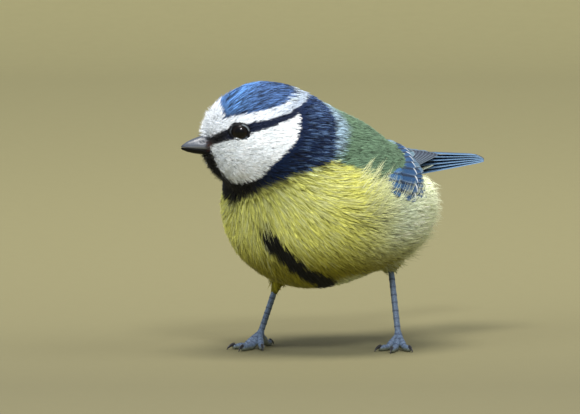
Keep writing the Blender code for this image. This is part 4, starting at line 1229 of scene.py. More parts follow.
def build_loose_barbs(settings, colours, roots, unwrap, on_breast, draw, material):
    """Wisps over the folded wing's front edge, strands on the breast, down along the flank's rear, and the
    bristles round the bill's base. All are grown before any is coloured. A barb fades towards the colour of
    loose barbs, and is lighter the nearer to its tip, as painted shade at its root."""
    back, angle = wing_place(roots)
    places = {
        "wisps": (back > -18) & (back < 7) & (angle > -14) & (angle < 8 - 0.4 * back) & (angle < 15),
        "strands": on_breast,
        "down": (back > 5) & (angle < 14) & (angle > -60),
    }
    grown = {name: grow_loose(roots, share * places[name], numbers, lift, draw)
             for name, (share, numbers, lift) in LOOSE_BARBS.items()}
    by_bill = smooth(8, 12, (roots - HEAD_CENTRE) @ HEAD_FORWARD) * smooth(62.5, 59, roots[:, 2])
    grown["bristles"] = grow_bristles(roots, BRISTLE_SHARE * by_bill, draw)
    wisp = np.array(settings.wisp)
    for name, (ribbons, chosen, starts) in grown.items():
        corners = ribbons.shape[1]
        tints = mixed(plumage(starts, colours), wisp, LOOSE_PALENESS[name])[:, None]
        # Painted shade: darker at the root, lighter at the tip
        tints = tints * np.linspace(0.85, 1.1, corners)[:, None] * draw.uniform(0.75, 1.1, (len(tints), 1, 1))
        step = np.arange(corners)
        spot = [(2 * (step % 2) - 1) / 5, step / (corners - 1) - 0.5]
        spots = unwrap[chosen][:, None] + np.stack(spot, axis=-1) * PATCH_SIZE
        ribbon_piece(name, ribbons, long_ribbon_faces((corners + 1) // 2), tints, spots, material)


def lens_section(top, thickness):
    """A closed ring for each row of points: across the top, and back a thickness lower that thins to the
    edges as 1 - 0.8 w^2. The first and last rows are drawn together to a point."""
    under = top.copy()
    under[..., 2] -= thickness * (1 - 0.8 * np.linspace(-1, 1, top.shape[-2]) ** 2)
    rings = np.concatenate([top, under[..., ::-1, :]], axis=-2)
    for row in (0, -1):
        rings[..., row, :, :] = rings[..., row, :, :].mean(axis=-2, keepdims=True)
    return rings


def vane_outline(share, blunt):
    """A feather's half width: it widens as 0.55 + 0.45 sin(pi s / 1.5) up to s = 3/4, and closes at the tip
    as a rounded end, sqrt(1 - e^2.2), whose length is the blunt share."""
    body = 0.55 + 0.45 * np.sin(np.clip(share / 0.75, 0, 1) * pi / 2)
    end = np.clip((share - (1 - blunt)) / blunt, 0, 1)
    return body * np.sqrt(np.maximum(1 - end ** 2.2, 0.0)) + 0.02


def vane_steps():
    """The stations along a vane, from 0 to 1, and across it, from -1 to 1."""
    return np.linspace(0, 1, VANE_ROWS)[None, :, None], np.linspace(-1, 1, VANE_COLUMNS)[None, None, :]


def wing_feathers():
    """Every wing feather as a grid of points on the left wing, with its place along (0 to 1) and across
    (-1 to 1), and its row's number. A feather runs straight from its root to its tip in places back and
    degrees up, with its width set off square to that line, cambered as 0.22 (1 - w^2) - 0.32 w, and drops
    under the back's feathers."""
    grids, alongs, acrosses, kinds = [], [], [], []
    share, across = vane_steps()
    for kind, row in enumerate(WING_ROWS.values()):
        count, first_root, last_root, first_tip, last_tip, width, low, high, outer, blunt = row
        order = np.linspace(0, 1, count)[:, None, None]
        root_back, root_angle = (mixed(first_root[i], last_root[i], order) for i in (0, 1))
        tip_back, tip_angle = (mixed(first_tip[i], last_tip[i], order) for i in (0, 1))
        back, angle = mixed(root_back, tip_back, share), mixed(root_angle, tip_angle, share)
        middle = wing_surface(back, angle, 0.0)
        radius = np.hypot(middle[..., 0], middle[..., 2] - WING_AXIS_HEIGHT)
        slope = np.radians(tip_angle - root_angle) * radius / (tip_back - root_back)
        steep = np.sqrt(1 + slope ** 2)
        web = np.where(across < 0, 2 * outer, 2 * (1 - outer)) * across
        half = width / 2 * vane_outline(share, blunt) * web
        backs = back - half * slope / steep
        angles = angle + np.degrees(half / steep / radius)
        camber = 0.22 * (1 - across ** 2) - 0.32 * across
        rise = mixed(low, high, share) + camber * (0.3 + 0.7 * share)
        rise = rise - 1.3 * smooth(4.0, -1.0, backs - np.interp(angles, *SCAPULAR_EDGE))
        grids.append(wing_surface(backs, angles, rise))
        alongs.append(np.broadcast_to(share, backs.shape))
        acrosses.append(np.broadcast_to(across, backs.shape))
        kinds.append(np.full(count, kind))
    return [np.concatenate(parts) for parts in (grids, alongs, acrosses, kinds)]


def wing_colours(settings, along, across, kinds):
    """Blue on the outer web, grey-black on the inner one, a pale rim, a dark shaft, a white bar on the
    greater coverts' tips, and fainter white tips on secondaries and tertials."""
    names = list(WING_ROWS)
    inner, edge, white, shaft = tones(settings, ("inner_web", "pale_edge", "white_tip", "shaft"))
    along, across, kinds = along[..., None], across[..., None], kinds[:, None, None]
    rim = np.where(np.char.endswith(names, "covert"), 0.35, 0.75)[kinds][..., None]
    has_bar = np.isin(kinds, [names.index("greater_covert")])[..., None]
    has_tip = np.isin(kinds, [names.index("tertial"), names.index("secondary")])[..., None]
    colour = mixed(np.array(tones(settings, WING_WEB_COLOURS))[kinds], inner, smooth(-0.1, 0.5, across) * 0.8)
    colour = mixed(colour, edge, smooth(-0.72, -0.95, across) * rim)
    colour = mixed(colour, edge, smooth(0.85, 1.0, across) * 0.35)
    colour = mixed(colour, shaft, smooth(0.10, 0.03, np.abs(across)) * 0.8)
    colour = mixed(colour, white, smooth(0.91, 0.95, along) * has_bar)
    return mixed(colour, white, smooth(0.95, 0.99, along) * has_tip * 0.6)


def make_vanes(name, grids, along, across, colours, lengths, thickness, flipped=False):
    """Vanes as closed lens-shaped plates, darker below, with a map in millimetres along and across for the
    barbs."""
    rings = lens_section(grids, thickness)
    along, across = (np.concatenate([part, part[..., ::-1]], axis=-1) for part in (along, across))
    colours = np.concatenate([colours, colours[..., ::-1, :] * 0.8], axis=-2)
    faces = sheet_faces(rings, True)
    faces = faces[:, ::-1] if flipped else faces
    flat = np.stack([along * lengths[:, None, None], across * 1.6], axis=-1)
    return make_mesh(name, rings, faces, colours, {"Vane": flat})


def build_wings(settings):
    """Both folded wings: the left one's vanes, and the same mirrored to the right."""
    grids, along, across, kinds = wing_feathers()
    colours = wing_colours(settings, along, across, kinds)
    lengths = np.linalg.norm(grids[:, -1].mean(axis=1) - grids[:, 0].mean(axis=1), axis=-1)
    material = vane_material("wing vane keratin", 0.5)
    for side, name in ((1, "left"), (-1, "right")):
        made = make_vanes("wing_feathers_" + name, grids * (side, 1, 1), along, across, colours, lengths,
                          settings.wing_vane_thickness / MM, side < 0)
        finish_piece(made, material, "blue_feathers", "wing_" + name)


def tail_rows():
    """A row of numbers for each vane of the tail: places of root and tip to the side, start and end, width,
    height at root and tip, droop, bluntness, and kind. Six pairs from the middle out lie each lower than the
    one before, under three rows of coverts, with one more row beneath."""
    rows = []
    for pair in range(TAIL_PAIRS):
        for side in (1, -1):
            top = TAIL_TOP - 0.05 * (side < 0)
            end = TAIL_LENGTH + 0.6 * pair - 0.16 * pair ** 2 - 0.4 * (side < 0)
            rows.append((side * (0.6 + 0.3 * pair), side * (0.95 + 0.55 * pair), 0.0, end, TAIL_VANE_WIDTH,
                         top - TAIL_LAYER_STEPS[0] * pair, top - TAIL_LAYER_STEPS[1] * pair,
                         TAIL_VANE_DROOP / 2 * side, 0.16, 0))
    for reach, level in UPPER_TAIL_COVERTS:
        for step in range(-2, 3):
            place = 1.4 * step + 0.1
            rows.append((place * 0.8, place, 6.0, reach - 1.2 * abs(step), 3.4, level + 0.1,
                         level - 0.3 * abs(step), 0.2 * np.sign(place), 0.5, 1))
    for step in range(-2, 3):
        place = 1.7 * step + 0.05
        rows.append((place * 0.8, place, 8.0, UNDER_TAIL_REACH - 2.2 * abs(step), 4.2, UNDER_TAIL_LEVELS[0],
                     UNDER_TAIL_LEVELS[1] + 0.3 * abs(step), -0.06 * np.sign(place), 0.6, 2))
    return np.array(rows)


def build_tail(settings):
    """The tail's vanes: side, back and height run evenly from root to tip, with the width across, a camber of
    0.3 (1 - w^2) (1 - s / 2), a droop to one side, and the tail's own fall."""
    rows = tail_rows()
    root, tip, start, end, width, low, high, droop, blunt, kind = (rows[:, i, None, None] for i in range(10))
    share, across = vane_steps()
    half = width / 2 * np.stack([vane_outline(share[0], b) for b in blunt.ravel()])
    side = mixed(root, tip, share) + half * across
    back = mixed(start, end, share) + 0 * across
    curve = 0.3 * (1 - across ** 2) * (1 - share * 0.5)
    height = mixed(low, high, share) - droop * across * 2 + curve - TAIL_FALL * back
    grids = TAIL_ROOT + np.stack([side, back, height], axis=-1)
    along, across = np.broadcast_to(share, back.shape), np.broadcast_to(across, back.shape)
    web, kinds = (across * np.sign(tip + 1e-6))[..., None], kind.astype(int)
    dark, edge, shaft = tones(settings, ("tail_inner", "tail_edge", "shaft"))
    is_vane = (kinds == 0)[..., None]
    colour = np.array(tones(settings, ("tail_web", "tail_covert", "vent_covert")))[kinds]
    colour = mixed(colour, dark, smooth(0.2, -0.4, web) * 0.7 * is_vane)
    colour = mixed(colour, edge, smooth(0.75, 0.98, web) * 0.8 * is_vane)
    colour = mixed(colour, shaft, smooth(0.09, 0.03, np.abs(web)) * 0.7 * is_vane)
    colour = mixed(colour, edge, smooth(0.8, 1.0, along[..., None]) * 0.3)
    made = make_vanes("tail_feathers", grids, along, across, colour, (end - start).ravel(),
                      settings.tail_vane_thickness / MM)
    finish_piece(made, vane_material("tail vane keratin", 0.45), "blue_feathers", "tail")


def turned_profile(centre, way, radii, heights, columns, stretch=(1.0, 1.0)):
    """A profile turned about an axis: centre + way h + r (cos t across + sin t above), stretched both ways.
    The heights may differ round the axis."""
    across = unit(np.cross(way, UP))
    above = np.cross(across, way)
    turns = circle(columns)[:, None]
    ring = np.cos(turns) * across * stretch[0] + np.sin(turns) * above * stretch[1]
    heights = heights.reshape(len(radii), -1)
    return centre + way * heights[..., None] + ring * radii[:, None, None]


def eye_ball(settings, side, centre):
    """A ball of radius R (1 + 0.035 exp(-(t / 0.5)^2)) at t radians from its front, where the cornea bulges,
    with a black pupil, a brown iris and a dark edge."""
    pupil, iris, edge = tones(settings, ("pupil", "iris", "eye_edge"))
    tilt = np.linspace(0, pi, EYE_ROWS)
    radius = EYE_RADIUS * (1 + CORNEA_BULGE * np.exp(-(tilt / CORNEA_WIDTH) ** 2))
    ball = turned_profile(centre, eye_way(side), radius * np.sin(tilt), radius * np.cos(tilt), EYE_RING)
    reach = (EYE_RADIUS * np.sin(tilt))[:, None, None] + np.zeros((1, EYE_RING, 1))
    colour = mixed(pupil, iris, smooth(1.05, 1.2, reach) * smooth(1.95, 1.75, reach))
    return ball, mixed(colour, edge, smooth(2.6, 2.8, reach) * 0.3)


def eye_lids(settings, side, centre):
    """Lids as oval rings over the eyeball: sqrt(R^2 - r^2) plus each ring's own height, with a pale rim that
    is broken and strongest in front."""
    dark, pale = tones(settings, ("lid", "lid_rim"))
    turns = circle(LID_COLUMNS)
    oval = np.hypot(LID_STRETCH[0] * np.cos(turns), LID_STRETCH[1] * np.sin(turns))
    contact = np.minimum(LID_RADII[:, None] * oval, LID_CONTACT)
    heights = np.sqrt(EYE_RADIUS ** 2 - contact ** 2) + LID_HEIGHTS[:, None]
    lids = turned_profile(centre, eye_way(side), LID_RADII, heights, LID_COLUMNS, LID_STRETCH)
    broken = smooth(-0.3, 0.5, np.sin(3 * turns + 0.9) + 0.5 * np.sin(7 * turns))
    broken = broken * (0.25 + 0.75 * smooth(0.3, -0.5, np.cos(turns)))
    return lids, mixed(dark, pale, LID_PALE[:, None, None] * broken[None, :, None])


def build_eyes(settings):
    """A dark eyeball on each side and a ring of lids round its opening, a little behind the solids' eyes."""
    cornea, skin = eye_material(), lid_material()
    for side, name in ((1, "left"), (-1, "right")):
        centre = eye_centre(side) - eye_way(side) * settings.eye_sink / MM
        ball, colour = eye_ball(settings, side, centre)
        made = make_surface("eye_ball_" + name, ball, True, flipped=True, colours=colour)
        finish_piece(made, cornea, "eye", "eye_" + name)
        lids, colour = eye_lids(settings, side, centre)
        finish_piece(make_surface("eyelids_" + name, lids, True, colours=colour), skin, "eye")


def mandible(ridge, flat, width_share, rows=40, columns=26):
    """Rings down the bill: half the ring arches from the flat mouth edge to the ridge as sin^0.85, and the
    other half lies along the flat. Heights are given from base to tip, and the width falls as
    (1 - s^1.4)^0.75."""
    share = np.linspace(BILL_START, 1, rows)
    along = np.maximum(share, 0.0)
    forward = mixed(BILL_BASE, BILL_TIP, share)[:, None]
    level = np.interp(along, BILL_STATIONS, flat)[:, None]
    rise = np.interp(along, BILL_STATIONS, ridge)[:, None] - level
    half = (width_share * BILL_WIDTH / 2 * (1 - along ** 1.4) ** 0.75 + 0.10)[:, None]
    turns = np.linspace(0, pi, columns)
    arch = head_point(forward + 0 * turns, half * np.cos(turns), level + rise * np.sin(turns) ** 0.85)
    flat_turns = turns[::-1][1:-1]
    base = head_point(forward + 0 * flat_turns, half * np.cos(flat_turns), level + 0 * flat_turns)
    rings = np.concatenate([arch, base], axis=1)
    for row in (0, -1):
        rings[row] = rings[row].mean(axis=0)
    height = np.concatenate([np.sin(turns) ** 0.85, 0 * flat_turns])
    return rings, along[:, None, None], height[None, :, None]


def nostril(rings):
    """How near points are to a nostril on either side of the bill: exp(-|d / reach|^2)."""
    local = rings - HEAD_CENTRE
    pit = np.stack([local @ HEAD_FORWARD, np.abs(local @ HEAD_LEFT), local[..., 2]], -1) - NOSTRIL
    return np.exp(-np.sum((pit / NOSTRIL_REACH) ** 2, axis=-1))[..., None]


def bill_ends(colour, dark, warm, along, height):
    """A bill's colour with its dark tip and the soft skin low at its base."""
    colour = mixed(colour, dark, smooth(0.8, 1.0, along) * 0.5)
    return mixed(colour, warm, smooth(0.06, 0.0, along) * smooth(0.7, 0.3, height) * 0.3)


def build_bill(settings):
    """Two mandibles that meet along the mouth, the upper one with a nostril on each side of its base,
    darkened by painted shade in its pit. Their tips are dark, and soft skin shows at the mouth's corner."""
    horn, edge, dark, warm = tones(settings, ("horn", "cutting_edge", "lower_horn", "gape"))
    under = np.array(MOUTH_HEIGHTS) - settings.mouth_gap / MM
    rings, along, height = mandible(CULMEN_HEIGHTS, MOUTH_HEIGHTS, 1.0)
    near = nostril(rings)
    colour = mixed(horn, edge, smooth(0.35, 0.1, height) * smooth(1.0, 0.7, along))
    # Painted shade: the upper mandible darkens in each nostril's pit
    colour = bill_ends(colour, dark, warm, along, height) * (1 - 0.85 * near)
    rings = rings - NOSTRIL_DEPTH * near * np.sign((rings - HEAD_CENTRE) @ HEAD_LEFT)[..., None] * HEAD_LEFT
    made = make_surface("bill_upper_horn", rings, True, flipped=True, colours=colour)
    finish_piece(made, horn_material("bill horn", 0.34, 0.7), "bill", "bill_upper")
    rings, along, height = mandible(CHIN_HEIGHTS, under, LOWER_WIDTH_SHARE)
    colour = bill_ends(dark, dark, warm, along, height)
    made = make_surface("bill_lower_horn", rings, True, colours=colour)
    finish_piece(made, horn_material("matt dark horn", 0.5, 0.2), "bill", "bill_lower")


def tube(path, widths, heights, columns, reference):
    """Oval rings square to a path, with their heights towards the reference direction, and closed ends."""
    way = unit(np.gradient(path, axis=0))
    across = unit(np.cross(way, reference))
    above = np.cross(across, way)
    turns = circle(columns)[None, :, None]
    rings = path[:, None] + np.cos(turns) * (widths[:, None] * across)[:, None]
    rings = rings + np.sin(turns) * (heights[:, None] * above)[:, None]
    for row in (0, -1):
        rings[row] = path[row]
    return rings


def shank_rings(leg, rows=90, columns=20):
    """The bare shank: scutes one below another as n s - floor(n s), each thicker at its lower edge, and the
    wider joint at its foot."""
    heel, joint = np.array(leg["heel"]), np.array(leg["joint"])
    start = leg["thigh_end"]
    share = np.linspace(start - 0.25, 1.03, rows)
    path = heel + (joint - heel) * share[:, None]
    scute = np.clip((share - start) / (0.97 - start) * SHANK_SCUTES, 0, SHANK_SCUTES - 0.001) % 1
    radius = SHANK_RADIUS + 0.10 * scute ** 2 + 0.35 * smooth(0.88, 1.0, share)
    return tube(path, radius * 0.85, radius * 1.05, columns, np.array([0.0, 1.0, 0.0])), scute


def toe_rings(leg, length, turn, rows=40, columns=16):
    """One toe: it falls from the ankle to the floor, with pads as 1 + 0.1 cos, scutes on top and a flat
    sole."""
    out = np.array([sin(turn), -cos(turn), 0.0])
    joint = np.array(leg["joint"])
    station = np.linspace(0, length, rows)
    height = np.interp(station, *TOE_FALL)
    pads = 1 + 0.10 * np.cos(station * 2 * pi / TOE_PAD_SPACING)
    radius = TOE_RADIUS * pads * np.interp(station / length, *TOE_TAPER)
    path = np.stack([joint[0] + out[0] * station, joint[1] + out[1] * station, height], axis=-1)
    scute = (station / TOE_SCUTE_LENGTH) % 1
    rings = tube(path, radius * 0.9, radius * (1 + 0.07 * scute), columns, UP)
    rings[..., 2] = np.maximum(rings[..., 2], 0.0)
    return rings, scute, path[-1], out


def claw_rings(end, out, length, rows=18, columns=12):
    """A claw: part of a circle, l sin(b s) / b forward and 0.62 l (1 - cos(b s)) / b down, round at its base
    and as thin as (1 - s)^0.8 at its tip."""
    share = np.linspace(0, 1, rows)
    bend = share * CLAW_BEND
    forward = length * np.sin(bend) / CLAW_BEND - 0.7
    drop = length * (1 - np.cos(bend)) / CLAW_BEND
    path = end + out * forward[:, None] + UP * (0.55 - drop * 0.62)[:, None]
    radius = CLAW_RADIUS * (1 - share) ** 0.8 + 0.05
    rings = tube(path, radius * 0.72, radius, columns, UP)
    rings[..., 2] = np.maximum(rings[..., 2], CLAW_FLOOR)
    return rings


def build_legs(settings):
    """Scaled shanks and toes on both sides, with their claws as pieces of their own. Each scale darkens into
    the groove under it, and the soles are paler."""
    scale, seam, sole, claw = tones(settings, ("scute", "scute_edge", "sole", "claw"))
    skin, horn = scute_material(), claw_material()
    for side, leg in LEGS.items():
        shank, scute = shank_rings(leg)
        colour = mixed(scale, seam, smooth(0.75, 1.0, scute)[:, None, None]) + np.zeros(shank.shape)
        made = make_surface("shank_" + side, shank, True, colours=colour)
        finish_piece(made, skin, "leg_scales", "tarsus_" + side)
        toes, claws, painted = [], [], []
        for length, turn in TOES.values():
            rings, scute, end, out = toe_rings(leg, length, leg["turn"] + radians(turn) * leg["side"])
            top = smooth(-0.2, 0.4, rings[..., 2:] - rings[..., 2:].mean(axis=1, keepdims=True))
            tone = mixed(scale, seam, smooth(0.7, 1.0, scute)[:, None, None])
            painted.append(mixed(sole, tone, top))
            toes.append(rings)
            claws.append(claw_rings(end, out, settings.claw_length / MM))
        made = make_surface("toes_" + side, toes, True, colours=np.array(painted))
        finish_piece(made, skin, "leg_scales", "foot_" + side)
        claws = np.array(claws)
        made = make_surface("claws_" + side, claws, True, colours=claw + np.zeros(claws.shape))
        finish_piece(made, horn, "leg_scales")


def build_camera():
    """The camera at the view's angle, as far away as its distance, and the axes of its picture."""
    right = np.array([cos(VIEW_AZIMUTH), sin(VIEW_AZIMUTH), 0.0])
    level = np.array([sin(VIEW_AZIMUTH), -cos(VIEW_AZIMUTH), 0.0])
    back = level * cos(VIEW_ELEVATION) + UP * sin(VIEW_ELEVATION)
    above = np.cross(back, right)
    target = VIEW_ANCHOR + right * ANCHOR_OFFSET[0] + above * ANCHOR_OFFSET[1]
    camera = bpy.data.cameras.new("camera")
    camera.sensor_width = 36.0
    camera.lens = camera.sensor_width * VIEW_DISTANCE / (FRAME_WIDTH / PIXELS_PER_MM)
    camera.clip_start, camera.clip_end = 0.05, 50.0
    eye = bpy.data.objects.new("camera", camera)
    place = (target + SHIFT + back * VIEW_DISTANCE) * MM
    turn = np.stack([right, above, back], axis=1)
    eye.matrix_world = Matrix.Translation(Vector(place)) @ Matrix(turn.tolist()).to_4x4()
    bpy.context.scene.collection.objects.link(eye)
    bpy.context.scene.camera = eye
    return right, -level


def build_lights(settings):
    """The soft round lamps, each turned to the bird, and the light from all round."""
    scene = bpy.context.scene
    scene.view_settings.view_transform = "Standard"
    world = bpy.data.worlds.new("studio air")
    world.use_nodes = True
    air = world.node_tree.nodes["Background"]
    air.inputs["Color"].default_value = (*linear(AIR_COLOUR), 1)
    air.inputs["Strength"].default_value = settings.ambient
    scene.world = world
    for name, angle, height, distance, size, power, tone, mirrored in LIGHTS:
        lamp = bpy.data.lights.new(name, "AREA")
        lamp.shape = "DISK"
        lamp.size = size
        lamp.energy = power * settings.light
        lamp.color = linear(tone)
        holder = bpy.data.objects.new(name, lamp)
        angle, height = radians(angle), radians(height)
        way = np.array([sin(angle) * cos(height), -cos(angle) * cos(height), sin(height)])
        holder.location = Vector((LIGHT_TARGET + SHIFT) * MM + way * distance)
        holder.rotation_euler = Vector(way).to_track_quat("Z", "Y").to_euler()
        holder.visible_glossy = mirrored
        scene.collection.objects.link(holder)


def build_stage(settings):
    """The camera, a floor that bends up behind the bird as r sin b and r (1 - cos b), and the lights."""
    right, away = build_camera()
    bend = np.linspace(0, SWEEP_BEND, SWEEP_STEPS)
    run = np.concatenate([FLOOR_RUN, SWEEP_START + SWEEP_RADIUS * np.sin(bend)])
    rise = np.concatenate([np.zeros(len(FLOOR_RUN)), SWEEP_RADIUS * (1 - np.cos(bend))])
    sweep = run[:, None] * away + (rise - FLOOR_GAP)[:, None] * UP
    half = settings.floor_width / MM / 2
    grid = sweep[:, None] + np.linspace(-half, half, FLOOR_COLUMNS)[None, :, None] * right
    floor = make_surface("floor", grid, False, flipped=True)
    floor.data.materials.append(floor_material(settings, away))
    build_lights(settings)


def colour(name, hex_value, description):
    """A colour setting whose default is a hex value."""
    return FloatVectorProperty(name=name, description=description, default=linear(hex_value), subtype="COLOR",
                               size=3, min=0.0, max=1.0)


def length(name, metres, description):
    """A length setting in metres."""
    return FloatProperty(name=name, description=description, default=metres, min=0.0, subtype="DISTANCE",
                         unit="LENGTH")


class BlueTitPlumage(bpy.types.PropertyGroup):
    """The coat's build, and the colours of the small feathers."""
    feather_length: FloatProperty(name="Feather length", description="Length of the feathers against the "
                                  "bird's own", default=1.0, min=0.1, max=2.0, subtype="FACTOR")
    barbs: IntProperty(name="Barbs", description="Barbs on each small feather", default=8, min=2, max=16)
    skin_depth: length("Skin depth", 0.0013, "How deep the skin lies under the coat on the body")
    breast: colour("Breast", "#d8d870", "Yellow of the breast")
    breast_bright: colour("Upper breast", "#c6c86c", "Bright yellow under the collar")
    # Painted shade: the yellow as it looks low under the body, where less light falls
    belly_shade: colour("Belly", "#8c861f", "Shaded yellow under the body")
    flank: colour("Flank", "#dfead0", "Greenish yellow of the flanks")
    vent: colour("Vent", "#f3fcd4", "Pale down behind the legs")
    # Grey feather bases, darkened by painted shade in the gap where the feathers part
    feather_base_and_gap_shade: colour("Feather base", "#3c4240", "Grey bases that show where feathers part")
    wisp: colour("Loose barbs", "#e6ebc4", "Long pale barbs that lie over the wing")
    belly_stripe: colour("Belly stripe", "#0b0c07", "Dark line down the belly")
    mantle: colour("Mantle", "#627e63", "Green of the back")
    # Painted highlight along the top of the back, where the light from above falls
    mantle_highlight: colour("Upper mantle", "#98b0a8", "Greyer green along the top of the back")
    rump: colour("Rump", "#86a0a0", "Blue-green over the tail's root")
    nape_pale: colour("Nape edge", "#98b0c0", "Pale band behind the collar")
    collar: colour("Collar", "#0c2348", "Navy of the collar")
    bib: colour("Bib", "#07070a", "Black of the throat")
    nape: colour("Nape", "#2a4370", "Lighter blue of the collar on the neck")
    cheek: colour("Cheek", "#f4fafd", "White of the cheek")
    stripe: colour("Eye stripe", "#16213c", "Navy line through the eye")
    lores: colour("Lores", "#15161a", "Black between eye and bill")
    rust: colour("Rusty spot", "#6b4536", "Brown stain at the bill's corner")
    forehead: colour("Forehead", "#f2f8fe", "White of the forehead and brow")
    brow_rear: colour("Rear brow", "#8ea0b4", "Bluish white behind the crown")
    crown: colour("Crown", "#41608f", "Blue of the crown")
    crown_front: colour("Front crown", "#5a8ac4", "Brighter blue over the forehead")
    crown_back: colour("Rear crown", "#3e5a86", "Deeper blue at the back of the crown")


PLUMAGE_COLOURS = (
    "breast", "breast_bright", "belly_shade", "flank", "vent", "belly_stripe", "mantle", "mantle_highlight", "rump",
    "nape_pale", "collar", "bib", "nape", "cheek", "stripe", "lores", "rust", "forehead", "brow_rear",
    "crown", "crown_front", "crown_back",
)


class BlueTitVanes(bpy.types.PropertyGroup):
    """Sizes and colours of the wing and tail feathers."""
    wing_vane_thickness: length("Wing vane thickness", 0.00014, "Thickness of the wings' vanes at the shaft")
    tail_vane_thickness: length("Tail vane thickness", 0.00016, "Thickness of the tail's vanes at the shaft")
    primary_web: colour("Primaries", "#454e5e", "Outer web of the primaries")
    secondary_web: colour("Secondaries", "#62809a", "Outer web of the secondaries")
    tertial_web: colour("Tertials", "#7290a0", "Tertials over the closed wing")
    covert_web: colour("Greater coverts", "#2c5078", "Greater and primary coverts")
    small_covert_web: colour("Small coverts", "#35608a", "Median coverts")
    inner_web: colour("Inner webs", "#2a3240", "Grey-black of the inner webs")
    pale_edge: colour("Pale edges", "#a9bfd2", "Rims of the outer webs")
    white_tip: colour("White tips", "#e6edf0", "Wing bar and tips")
    shaft: colour("Shafts", "#1e222a", "Feather shafts")
    tail_web: colour("Tail", "#587a9c", "Outer webs of the tail")
    tail_inner: colour("Tail inner webs", "#39465a", "Inner webs of the tail")
    tail_edge: colour("Tail edges", "#86a6c2", "Rims of the tail feathers")
    tail_covert: colour("Tail coverts", "#63788a", "Coverts over the tail's root")
    vent_covert: colour("Under tail coverts", "#d3dcc0", "Coverts under the tail's root")


class BlueTitBareParts(bpy.types.PropertyGroup):
    """Sizes and colours of the eyes, bill and legs."""
    eye_sink: length("Eye depth", 0.0003, "How far the eyes lie behind the solids' eyes")
    mouth_gap: length("Mouth gap", 0.00012, "Width of the line between the closed mandibles")
    claw_length: length("Claw length", 0.0034, "Length of a claw along its curve")
    pupil: colour("Pupil", "#020203", "Pupil")
    iris: colour("Iris", "#0e0906", "Very dark brown iris")
    eye_edge: colour("Eye edge", "#1a1816", "Edge of the eyeball under the lids")
    lid: colour("Lids", "#0e0f12", "Bare skin of the lids")
    lid_rim: colour("Lid rim", "#6f787e", "Pale rim of the lids")
    horn: colour("Upper mandible", "#464d58", "Upper mandible")
    cutting_edge: colour("Cutting edge", "#63666a", "Worn edges of the bill")
    lower_horn: colour("Lower mandible", "#08080a", "Lower mandible")
    gape: colour("Gape", "#6e4a40", "Soft skin at the bill's base")
    scute: colour("Leg scales", "#6d8098", "Scales of the legs")
    scute_edge: colour("Scale edges", "#3a4560", "Grooves between scales")
    sole: colour("Soles", "#7d8474", "Pads under the toes")
    claw: colour("Claws", "#2c2b2e", "Claws")


class BlueTitStage(bpy.types.PropertyGroup):
    """The floor and the light."""
    floor: colour("Floor", "#85805b", "Painted floor")
    floor_width: length("Floor width", 5.0, "Width of the painted floor")
    light: FloatProperty(name="Light", description="Strength of all lamps", default=1.0, min=0.0)
    ambient: FloatProperty(name="Ambient light", description="Strength of the light from all round",
                           default=0.34, min=0.0)


class OBJECT_OT_blue_tit_plumage(bpy.types.Operator):
    """Add the skin and the small feathers over it"""
    bl_idname = "object.blue_tit_plumage"
    bl_label = "Plumage"

    def execute(self, context):
        settings = context.scene.blue_tit_plumage
        build_coat(settings, build_skin(settings))
        return {"FINISHED"}


class OBJECT_OT_blue_tit_wings(bpy.types.Operator):
    """Add both folded wings, feather by feather"""
    bl_idname = "object.blue_tit_wings"
    bl_label = "Wings"

    def execute(self, context):
        build_wings(context.scene.blue_tit_vanes)
        return {"FINISHED"}


class OBJECT_OT_blue_tit_tail(bpy.types.Operator):
    """Add the tail's feathers and coverts"""
    bl_idname = "object.blue_tit_tail"
    bl_label = "Tail"

    def execute(self, context):
        build_tail(context.scene.blue_tit_vanes)
        return {"FINISHED"}


class OBJECT_OT_blue_tit_eyes(bpy.types.Operator):
    """Add the eyeballs and their lids"""
    bl_idname = "object.blue_tit_eyes"
    bl_label = "Eyes"

    def execute(self, context):
        build_eyes(context.scene.blue_tit_bare_parts)
        return {"FINISHED"}


class OBJECT_OT_blue_tit_bill(bpy.types.Operator):
    """Add the two mandibles"""
    bl_idname = "object.blue_tit_bill"
    bl_label = "Bill"

    def execute(self, context):
        build_bill(context.scene.blue_tit_bare_parts)
        return {"FINISHED"}


class OBJECT_OT_blue_tit_legs(bpy.types.Operator):
    """Add the scaled legs, toes and claws"""
    bl_idname = "object.blue_tit_legs"
    bl_label = "Legs"

    def execute(self, context):
        build_legs(context.scene.blue_tit_bare_parts)
        return {"FINISHED"}


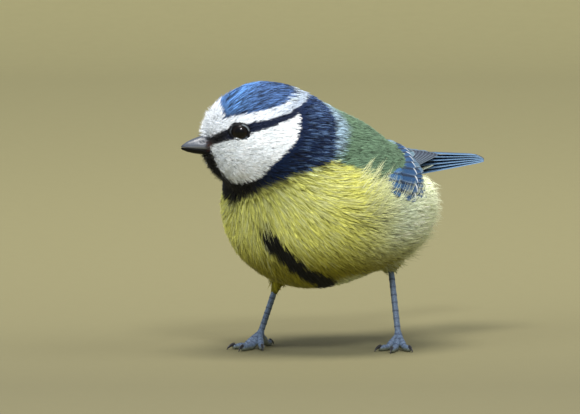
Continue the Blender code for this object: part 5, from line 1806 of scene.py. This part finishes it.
class SCENE_OT_blue_tit_stage(bpy.types.Operator):
    """Add the floor, the lights and the camera"""
    bl_idname = "scene.blue_tit_stage"
    bl_label = "Stage"

    def execute(self, context):
        build_stage(context.scene.blue_tit_stage)
        return {"FINISHED"}


class VIEW3D_PT_blue_tit(bpy.types.Panel):
    """Sidebar panel with every step and its settings"""
    bl_idname = "VIEW3D_PT_blue_tit"
    bl_label = "Blue Tit"
    bl_space_type = "VIEW_3D"
    bl_region_type = "UI"
    bl_category = "Blue Tit"

    def draw(self, context):
        for operator in OPERATORS:
            self.layout.operator(operator.bl_idname)
        for name, group in GROUPS.items():
            box = self.layout.box()
            box.label(text=group.__doc__)
            for field in group.__annotations__:
                box.prop(getattr(context.scene, name), field)


GROUPS = {
    "blue_tit_plumage": BlueTitPlumage,
    "blue_tit_vanes": BlueTitVanes,
    "blue_tit_bare_parts": BlueTitBareParts,
    "blue_tit_stage": BlueTitStage,
}
OPERATORS = (
    SCENE_OT_blue_tit_stage, OBJECT_OT_blue_tit_plumage, OBJECT_OT_blue_tit_wings, OBJECT_OT_blue_tit_tail,
    OBJECT_OT_blue_tit_eyes, OBJECT_OT_blue_tit_bill, OBJECT_OT_blue_tit_legs,
)


def register():
    """Add the settings to the scene, and the operators and the panel to Blender."""
    for group in GROUPS.values():
        bpy.utils.register_class(group)
    for name, group in GROUPS.items():
        setattr(bpy.types.Scene, name, PointerProperty(type=group))
    for operator in OPERATORS:
        bpy.utils.register_class(operator)
    bpy.utils.register_class(VIEW3D_PT_blue_tit)


def unregister():
    """Take away all that register() adds, in the opposite order."""
    bpy.utils.unregister_class(VIEW3D_PT_blue_tit)
    for operator in reversed(OPERATORS):
        bpy.utils.unregister_class(operator)
    for name, group in GROUPS.items():
        delattr(bpy.types.Scene, name)
        bpy.utils.unregister_class(group)


def main():
    """Build the stage and every piece with the default settings."""
    register()
    bpy.ops.scene.blue_tit_stage()
    bpy.ops.object.blue_tit_plumage()
    bpy.ops.object.blue_tit_wings()
    bpy.ops.object.blue_tit_tail()
    bpy.ops.object.blue_tit_eyes()
    bpy.ops.object.blue_tit_bill()
    bpy.ops.object.blue_tit_legs()


if __name__ == "__main__":
    main()
